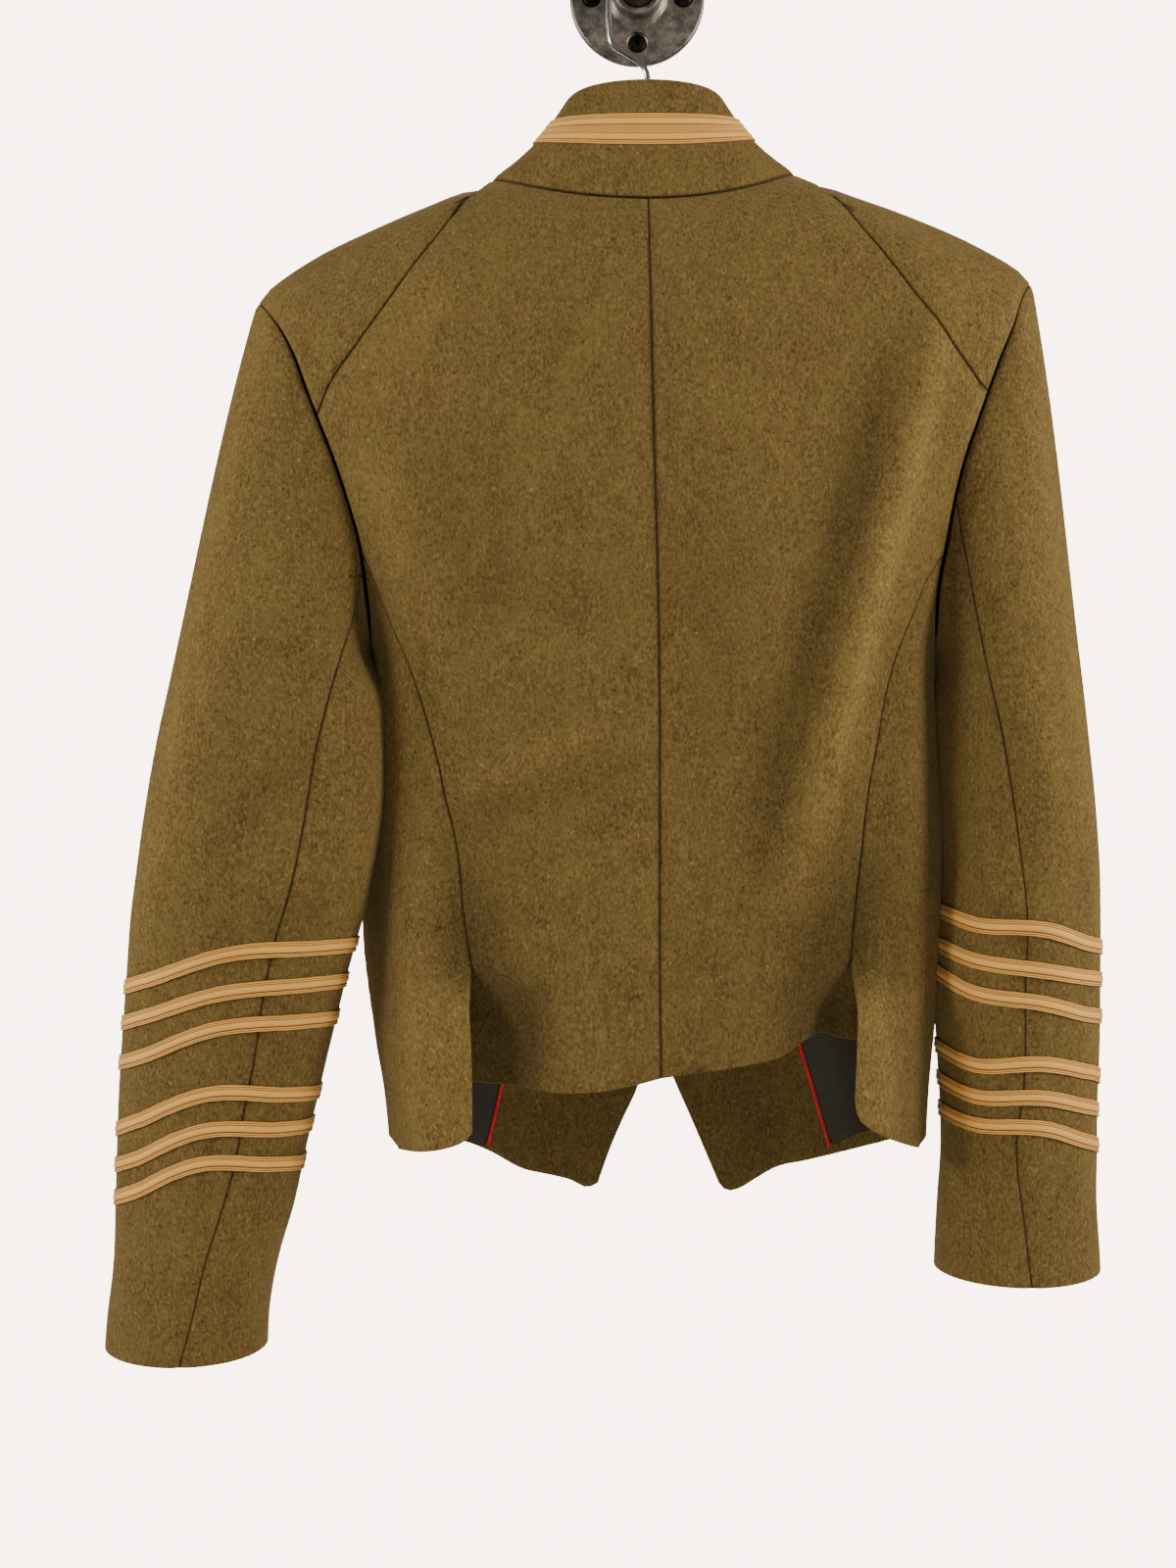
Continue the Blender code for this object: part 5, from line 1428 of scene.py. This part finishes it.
def cutAway(piece, *cutters):
    # The piece with the cutters' shapes taken out of it for good
    for cutter in cutters:
        cut = piece.modifiers.new("cut", "BOOLEAN")
        cut.solver = "EXACT"
        cut.object = cutter
    seen = piece.evaluated_get(bpy.context.evaluated_depsgraph_get())
    mesh = bpy.data.meshes.new_from_object(seen)
    piece.modifiers.clear()
    piece.data = mesh
    mesh.shade_smooth()
    mesh.set_sharp_from_angle(angle=math.radians(32))
    for cutter in cutters:
        bpy.data.objects.remove(cutter)


def makeCutter(name, points, faces):
    # A mesh object, faces outwards, which is there only to be taken out of another
    mesh = bpy.data.meshes.new(name)
    mesh.from_pydata(points.tolist(), [], faces)
    work = bmesh.new()
    work.from_mesh(mesh)
    bmesh.ops.recalc_face_normals(work, faces=work.faces)
    work.to_mesh(mesh)
    work.free()
    return addObject(name, mesh)


def barCutter(at, turn):
    # A box across the screw's head, turned by an angle about its axis and tapering towards the wall
    form = fittingForm
    sine, cosine = math.sin(turn), math.cos(turn)
    halves = [form["driveLength"] / 2, form["driveWidth"] / 2]
    corners = np.array([[-1, -1], [1, -1], [1, 1], [-1, 1]]) * halves
    across = corners @ np.array([[cosine, sine], [-sine, cosine]])
    ends = []
    for depth, share in ((form["driveNear"], 1.0), (form["driveFar"], form["driveTaper"])):
        x, z = (at + across * share).T
        ends.append(pack(x, -depth, z))
    return makeCutter("drive", np.concatenate(ends), tubeFaces(2, 4))


def wallFitting():
    # The screws stand evenly on a circle, in holes cut through the flange, each with a cross recess
    form = fittingForm
    iron = turnedPiece("iron_wall_flange", "flange", form["flangeSides"], finishes["iron"], "iron",
                       "wall_flange")
    turnedPiece("iron_pipe", "pipe", form["pipeSides"], finishes["pipe"], "iron", "pipe")
    turnedPiece("iron_pipe_cap", "cap", form["pipeSides"], finishes["iron"], "iron", "pipe_cap")
    holes = []
    for number in range(form["screws"]):
        angle = fullTurn * number / form["screws"]
        at = np.array([math.cos(angle), math.sin(angle)]) * form["screwCircle"]
        holes.append(makeCutter("screwHole", *turned("screwHole", form["screwSides"], at)))
        screw = turnedPiece(f"black_screw_{number + 1}", "screw", form["screwSides"], finishes["screw"],
                            "black_steel", f"screw_{number + 1}", at)
        turn = form["driveTurn"] + number * form["driveStep"]
        cutAway(screw, barCutter(at, turn), barCutter(at, turn + math.pi / 2))
    cutAway(iron, *holes)


wallFitting()
print("wall fitting made")


# Stage, light and camera

studio = {
    "floorHeight": -1.50, "floorRadius": 1.0, "floorSides": 96,
    "lensMm": 50.0, "cameraPlace": (-0.0325, -1.443, -0.519),
    "lights": [    # place, size, watts, colour
        ((-1.25, -0.80, 0.00), 0.45, 13.5, "#FFF4E6"),
        ((1.22, -0.80, 0.05), 0.35, 17.5, "#FFF2E2"),
        ((-1.60, -0.35, -0.15), 0.60, 12.0, "#FFF4E6"),
        ((1.60, -0.35, -0.10), 0.60, 11.0, "#FFF4E6"),
        ((0.0, -1.4, -1.25), 0.8, 7.5, "#FFF2E4"),
        ((0.0, 1.8, 0.4), 1.8, 30.0, "#FFF6EC"),
    ],
    "lightAim": (0.0, -0.10, -0.25),
    "roomColour": "#F2EBE4", "roomStrength": 0.15,    # the light that the pale walls give back
    "wallColour": "#F8E6DC", "wallStrength": 8.0,     # and how bright they look themselves
}


def makeStage():
    # A round floor below the jacket, as an even polygon
    count, radius = studio["floorSides"], studio["floorRadius"]
    angles = np.arange(count) * fullTurn / count
    points = pack(np.cos(angles) * radius, np.sin(angles) * radius, studio["floorHeight"])
    mesh = bpy.data.meshes.new("studioFloor")
    mesh.from_pydata(points.tolist(), [], [list(range(count))])
    finish, _, _ = newFinish("paleFloor", {"Base Color": linearColour("#DEDAD4"), "Roughness": 0.9})
    mesh.materials.append(finish)
    addObject("studioFloor", mesh)


def makeLights():
    # Soft round lamps aimed at one point, in a room that looks brighter than the light that it gives
    for number, (place, size, watts, colour) in enumerate(studio["lights"]):
        lamp = bpy.data.lights.new(f"softLight{number}", "AREA")
        lamp.shape = "DISK"
        lamp.size = size
        lamp.energy = watts
        lamp.color = linearColour(colour)[:3]
        holder = addObject(lamp.name, lamp)
        holder.location = place
        aim = Vector(studio["lightAim"]) - Vector(place)
        holder.rotation_euler = aim.to_track_quat("-Z", "Y").to_euler()
    world = bpy.data.worlds.new("paleRoom")
    world.use_nodes = True
    tree = world.node_tree
    given = tree.nodes["Background"]
    given.inputs["Color"].default_value = linearColour(studio["roomColour"])
    given.inputs["Strength"].default_value = studio["roomStrength"]
    seen = addNode(tree, "ShaderNodeBackground", {
        "Color": linearColour(studio["wallColour"]), "Strength": studio["wallStrength"]})
    rays = addNode(tree, "ShaderNodeLightPath")
    both = addNode(tree, "ShaderNodeMixShader", None, {"Fac": (rays, "Is Camera Ray")})
    tree.links.new(given.outputs["Background"], both.inputs[1])
    tree.links.new(seen.outputs["Background"], both.inputs[2])
    tree.links.new(both.outputs["Shader"], tree.nodes["World Output"].inputs["Surface"])
    bpy.context.scene.world = world


def makeCamera():
    # A level view along +Y from the photo's own place
    lens = bpy.data.cameras.new("photoCamera")
    lens.lens = studio["lensMm"]
    camera = addObject("photoCamera", lens)
    camera.location = studio["cameraPlace"]
    camera.rotation_euler = (math.pi / 2, 0.0, 0.0)
    bpy.context.scene.camera = camera


makeStage()
makeLights()
makeCamera()
print("stage, lights and camera set")
